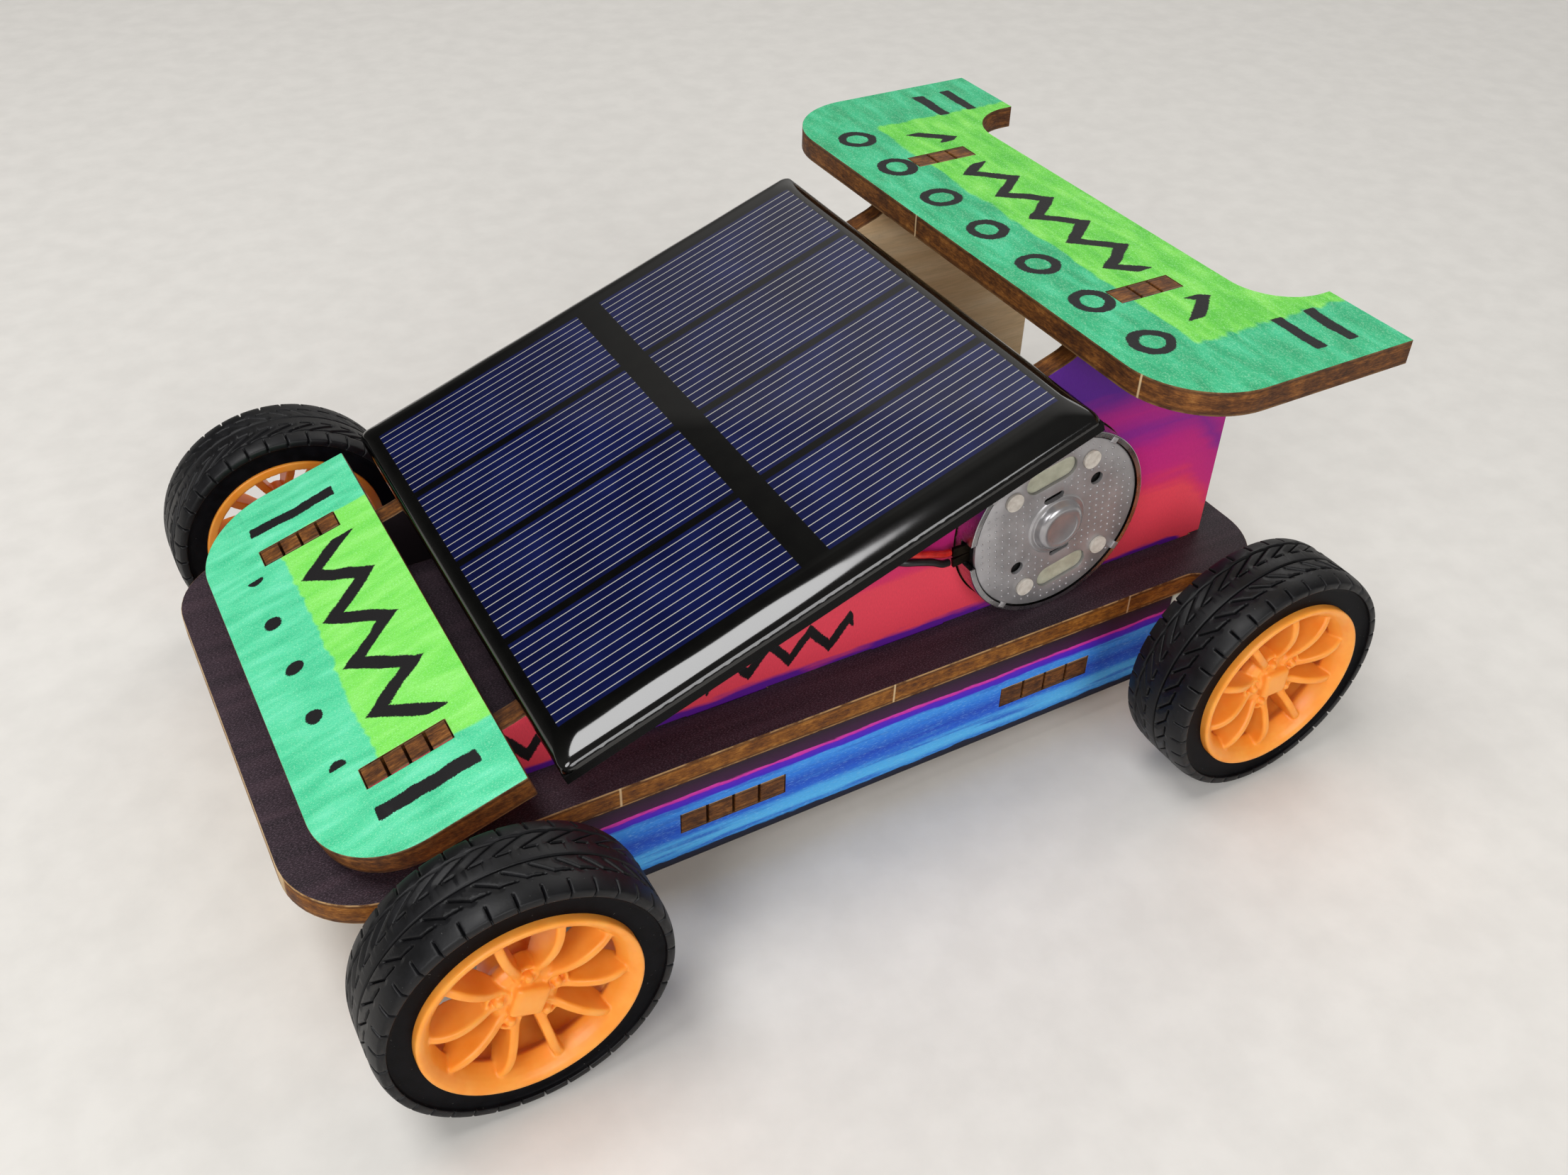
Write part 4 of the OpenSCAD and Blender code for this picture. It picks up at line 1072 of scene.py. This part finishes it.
def plate_details():
    """Rows of small dimples, and crimps of the can's rim over the plate."""
    solid = Solid()
    axis = math.radians(DIMPLE_TURN)
    angles = turn_angles(10)
    for i in DIMPLE_ROWS:
        for k in DIMPLE_ROWS:
            u, v = i * DIMPLE_PITCH, k * DIMPLE_PITCH
            x = u * math.cos(axis) - v * math.sin(axis)
            z = u * math.sin(axis) + v * math.cos(axis)
            if plain_plate(x, z):
                solid.loft([[(x + r * math.cos(a), PLATE_TOP + y, z - r * math.sin(a)) for a in angles]
                            for r, y in DIMPLE])
    crimp = [[(x * grow, y, z * grow) for x, z in CRIMP_PLAN] for grow, y in CRIMP_LEVELS]
    for turn in CRIMP_TURNS:
        loft_in_plate(solid, crimp, turn, CRIMP_AT)
    return solid


def plate_mesh():
    """The end plate as pressed sheet: stepped boss, holes with rounded rims, dimples and crimps."""
    plate = Solid()
    low = -PLATE_SHEET
    profile = [(0.01, low), (PLATE_R, low), (PLATE_R, -0.08), (PLATE_R - 0.1, 0), (8.0, 0), *BOSS]
    plate.lathe([(r, PLATE_TOP + y) for r, y in profile], steps=120)
    cutter = added("plate_cutter", plate_holes().mesh("plate_cutter"))
    obj = added("plate_raw", plate.mesh("plate_raw"))
    cut = obj.modifiers.new("holes", "BOOLEAN")
    cut.operation = "DIFFERENCE"
    cut.object = cutter
    rim = obj.modifiers.new("rims", "BEVEL")
    rim.width = HOLE_BEVEL * MM
    rim.segments = 3
    rim.limit_method = "ANGLE"
    rim.angle_limit = math.radians(50)
    mesh = baked(obj)
    bpy.data.objects.remove(cutter)
    both = bmesh.new()
    both.from_mesh(mesh)
    both.from_mesh(plate_details().mesh("plate_details"))
    both.to_mesh(mesh)
    both.free()
    mesh.name = "motor_face"
    shade_smooth(mesh, 40)
    return mesh


def motor_front():
    """Centre of the motor can's left end, in millimetres."""
    middle = middle_mm("motor_can")
    return Vector((middle.x, box_mm("motor_can")[1].y, middle.z))


def build_motor_face():
    length, width = WINDOW_SIZE
    rings = [stadium_ring(length + grow, width + grow, y) for grow, y in PLUG]
    plugs = Solid()
    for half in (0, 180):
        loft_in_plate(plugs, rings, WINDOW_TURN + half, WINDOW_AT, 90)
    plug = plugs.mesh("motor_window_plugs", 60)
    plug.materials.append(plastic_finish("window_plastic", "#a3a391", "#b9b9a6", (0.14, 0.26), 1.5, 0.005))
    face = plate_mesh()
    face.materials.append(plate_finish())
    place = Matrix.Translation(motor_front() * MM)
    settle("motor_face", face, place, "chassis", "motor_steel", "motor_end_plate")
    settle("motor_window_plugs", plug, place, "chassis", "white_plastic")


def can_finish():
    """Bright rolled steel, with a painted shade: a dark line on the can's inner wall where the rim meets the
    end plate.
    """
    g = Finish("can_steel", metallic=1.0)
    place = g.place()
    x, y, z = g.axes(g.vector("SUBTRACT", place, motor_front()))
    # Painted shade: the can's inside by its rim is coloured near-black for the shade in the gap at the end
    # plate
    painted_gap_shade = g.times(g.drop(g.length(x, z), 11.5, 11.56), g.step(y, -2.0, -1.5))
    mottle = g.noise(place, 2.5, detail=4)
    colour = g.mix(painted_gap_shade, g.tint(mottle, "#a8aaad", "#c9cacc"), "#0b0a0a")
    return g.finish(colour, g.grey(mottle, 0.2, 0.34), g.noise(place, 0.6, detail=3), 0.01, 0.4)


BEVEL_FROM = 35


def dress(node, material, bevel):
    """Gives a node its finish and, where asked, small worn bevels."""
    obj = NODES[node]
    obj.data.materials.clear()
    obj.data.materials.append(material)
    if bevel:
        weld = obj.modifiers.new("weld", "WELD")
        weld.merge_threshold = 0.002 * MM
        edge = obj.modifiers.new("bevel", "BEVEL")
        edge.width = bevel * MM
        edge.segments = 2
        edge.limit_method = "ANGLE"
        edge.angle_limit = math.radians(BEVEL_FROM)
        edge.harden_normals = True


def dress_plates():
    up = (0, 0, 1)
    slope = math.radians(HOOD_ANGLE)
    hood_normal = (math.sin(slope), 0, math.cos(slope))
    hood_middle = Vector(hood_normal).dot(Vector(SHOULDER)) + PLY_T / 2
    deck_middle = middle_mm("deck_plate").z
    deck = ply_finish("deck_ply", up, deck_middle, paint_deck, 0, cut=WARM_EDGE, nick=(0, 34, 5))
    tie = ply_finish("tie_ply", up, middle_mm("tie_plate").z, lambda g, place: bare_wood(g, place, 0), 0)
    wing = ply_finish("wing_ply", up, middle_mm("rear_wing").z, paint_wing, 1, nick=(1, 41, 7))
    hood = ply_finish("hood_ply", hood_normal, hood_middle, paint_hood, 0)
    dress("deck_plate", deck, 0.14)
    dress("tie_plate", tie, 0.1)
    dress("rear_wing", wing, 0.14)
    dress("hood_plate", hood, 0.14)
    for side, sign in (("left", 1), ("right", -1)):
        out = (0, sign, 0)
        sill_middle = sign * middle_mm(side + "_sill").y
        panel_middle = sign * middle_mm(side + "_side_panel").y
        sill = ply_finish(side + "_sill_ply", out, sill_middle, paint_sill, 0)
        panel = ply_finish(side + "_panel_ply", out, panel_middle, paint_side, 2, side_back)
        dress(side + "_sill", sill, 0.12)
        dress(side + "_side_panel", panel, 0.12)


def dress_hardware():
    bright = metal_finish("axle_steel", "#a9acb1", "#c6c8cc", (0.2, 0.34), 0.8)
    # Painted shade: the terminals' tin is coloured near-black for the shade they sit in beside the can
    shaded_tin = metal_finish("terminal_tin_painted_shade", "#15110d", "#2a231b", (0.5, 0.65), 0.6)
    bronze = metal_finish("bronze", "#8a6a35", "#a98546", (0.3, 0.5))
    copper = metal_finish("copper", "#9c4f1f", "#bd6a31", (0.25, 0.4), 0.5)
    iron = metal_finish("iron", "#5c5e62", "#74777b", (0.35, 0.55), 0.6)
    tin = metal_finish("solder", "#a7a8a8", "#c8c8c6", (0.25, 0.45), 0.7)
    white = plastic_finish("white_plastic", "#cdd0c4", "#dfe1d6")
    rivet = plastic_finish("rivet_plastic", "#bdb5ab", "#d3cdc4", (0.5, 0.65), 0.7)
    bell = plastic_finish("bell_plastic", "#0d0c0b", "#1a1816", (0.6, 0.8), 1.0)
    magnet = plastic_finish("magnet", "#3c3c3e", "#4c4c4f", (0.5, 0.7))
    foam = plastic_finish("foam_tape", "#d9d9d6", "#e8e8e4", (0.8, 0.95), 0.5, 0.1)
    board = plastic_finish("panel_board", "#040404", "#080808", (0.3, 0.4), 0.4, 0.04, specular=0.08)
    belt = plastic_finish("belt_rubber", "#141414", "#222222", (0.5, 0.65), 0.8)
    for material, bevel, *nodes in (
            (can_finish(), 0.1, "motor_can"), (rivet, 0.1, "motor_rivets"), (bell, 0.0, "motor_end_bell"),
            (magnet, 0.05, "motor_magnet"), (bronze, 0.05, "motor_bushes"), (bronze, 0.04, "motor_brushes"),
            (shaded_tin, 0.04, "motor_terminals"), (bright, 0.05, "motor_shaft", "front_axle", "rear_axle"),
            (iron, 0.0, "motor_core"), (copper, 0.05, "motor_windings", "motor_commutator"),
            (white, 0.08, "motor_pulley", "axle_pulley", "axle_bushes"), (belt, 0.0, "drive_belt"),
            (board, 0.05, "panel_board"), (foam, 0.1, "panel_tape"), (tin, 0.1, "panel_pads")):
        for node in nodes:
            dress(node, material, bevel)


# Camera, floor and light

def build_camera():
    right = Vector(CAMERA_RIGHT).normalized()
    up = Vector(CAMERA_UP).normalized()
    back = right.cross(up).normalized()
    camera = bpy.data.cameras.new("camera")
    camera.sensor_fit = "HORIZONTAL"
    camera.sensor_width = SENSOR_W
    camera.lens = SENSOR_W * FOCAL_PX / PHOTO_W
    camera.clip_start = 0.005
    obj = added("camera", camera)
    turn = Matrix((right, up, back)).transposed().to_4x4()
    obj.matrix_world = Matrix.Translation(Vector(CAMERA_AT) * MM) @ turn
    bpy.context.scene.camera = obj


FLOOR_REACH = 900
FLOOR_T = 4


def build_floor():
    corners = [(x * FLOOR_REACH, y * FLOOR_REACH) for x, y in ((-1, -1), (1, -1), (1, 1), (-1, 1))]
    slab = Solid()
    slab.loft([[(x, y, z) for x, y in corners] for z in (-FLOOR_T, 0)])
    obj = added("floor", slab.mesh("floor"))
    obj.data.materials.append(plastic_finish("floor_card", "#d8d5d0", "#dedbd6", (0.7, 0.85), 6.0, 0.02))


# Lamps: name, place in metres, width, height and power
LAMPS = [
    ("key", (0.28, -0.05, 0.85), 0.52, 0.36, 4.2),
    ("front", (0.55, 0.45, 0.55), 0.4, 0.4, 2.9),
    ("side", (0.05, 1.0, 0.5), 0.6, 0.6, 4.6),
    ("back", (-0.6, -0.4, 0.6), 0.4, 0.4, 0.8),
]
LAMP_AIM = Vector((0, 0, 0.03))


def area_light(name, at, width, height, power):
    light = bpy.data.lights.new(name, "AREA")
    light.shape = "ELLIPSE"
    light.size = width
    light.size_y = height
    light.energy = power
    obj = added(name, light)
    obj.location = at
    obj.rotation_euler = (LAMP_AIM - Vector(at)).to_track_quat("-Z", "Y").to_euler()


# Levels of the sky: plain, dark where the solar panel's front mirrors it, and a glow for the panel's rear
WORLD_LEVEL = 0.17
FLAG_LEVEL = 0.04
FLAG_FROM = 0.62
FLAG_TOWARDS = (0.3, -0.8, 0.52)
GLOW_LEVEL = 0.7
GLOW_FROM = 0.74
GLOW_TOWARDS = (-0.5, -0.62, 0.6)


def sky_patch(g, towards, start, low, high):
    """A level of the sky that goes smoothly from low to high towards a direction."""
    place = g.add("TexCoord", {}, out="Generated")
    aim = g.vector("DOT_PRODUCT", place, Vector(towards).normalized(), out="Value")
    inputs = {0: aim, 1: start, 2: 1.0, 3: low, 4: high}
    return g.add("MapRange", inputs, interpolation_type="SMOOTHSTEP")


def build_light():
    """A dim pale sky, a key light overhead, lights at the front left and the left, and a weak one behind."""
    world = bpy.data.worlds.new("studio")
    bpy.context.scene.world = world
    world.use_nodes = True
    g = Graph(world.node_tree)
    background = g.tree.nodes["Background"].inputs
    plain = sky_patch(g, FLAG_TOWARDS, FLAG_FROM, WORLD_LEVEL, FLAG_LEVEL)
    glow = sky_patch(g, GLOW_TOWARDS, GLOW_FROM, 0.0, GLOW_LEVEL)
    g.link(background["Color"], "#f4f1ec")
    g.link(background["Strength"], g.plus(plain, glow))
    for lamp in LAMPS:
        area_light(*lamp)
    bpy.context.scene.view_settings.view_transform = "Standard"


build_camera()
build_leads()
dress_plates()
dress_hardware()
build_panel()
build_motor_face()
build_wheels()
build_floor()
build_light()
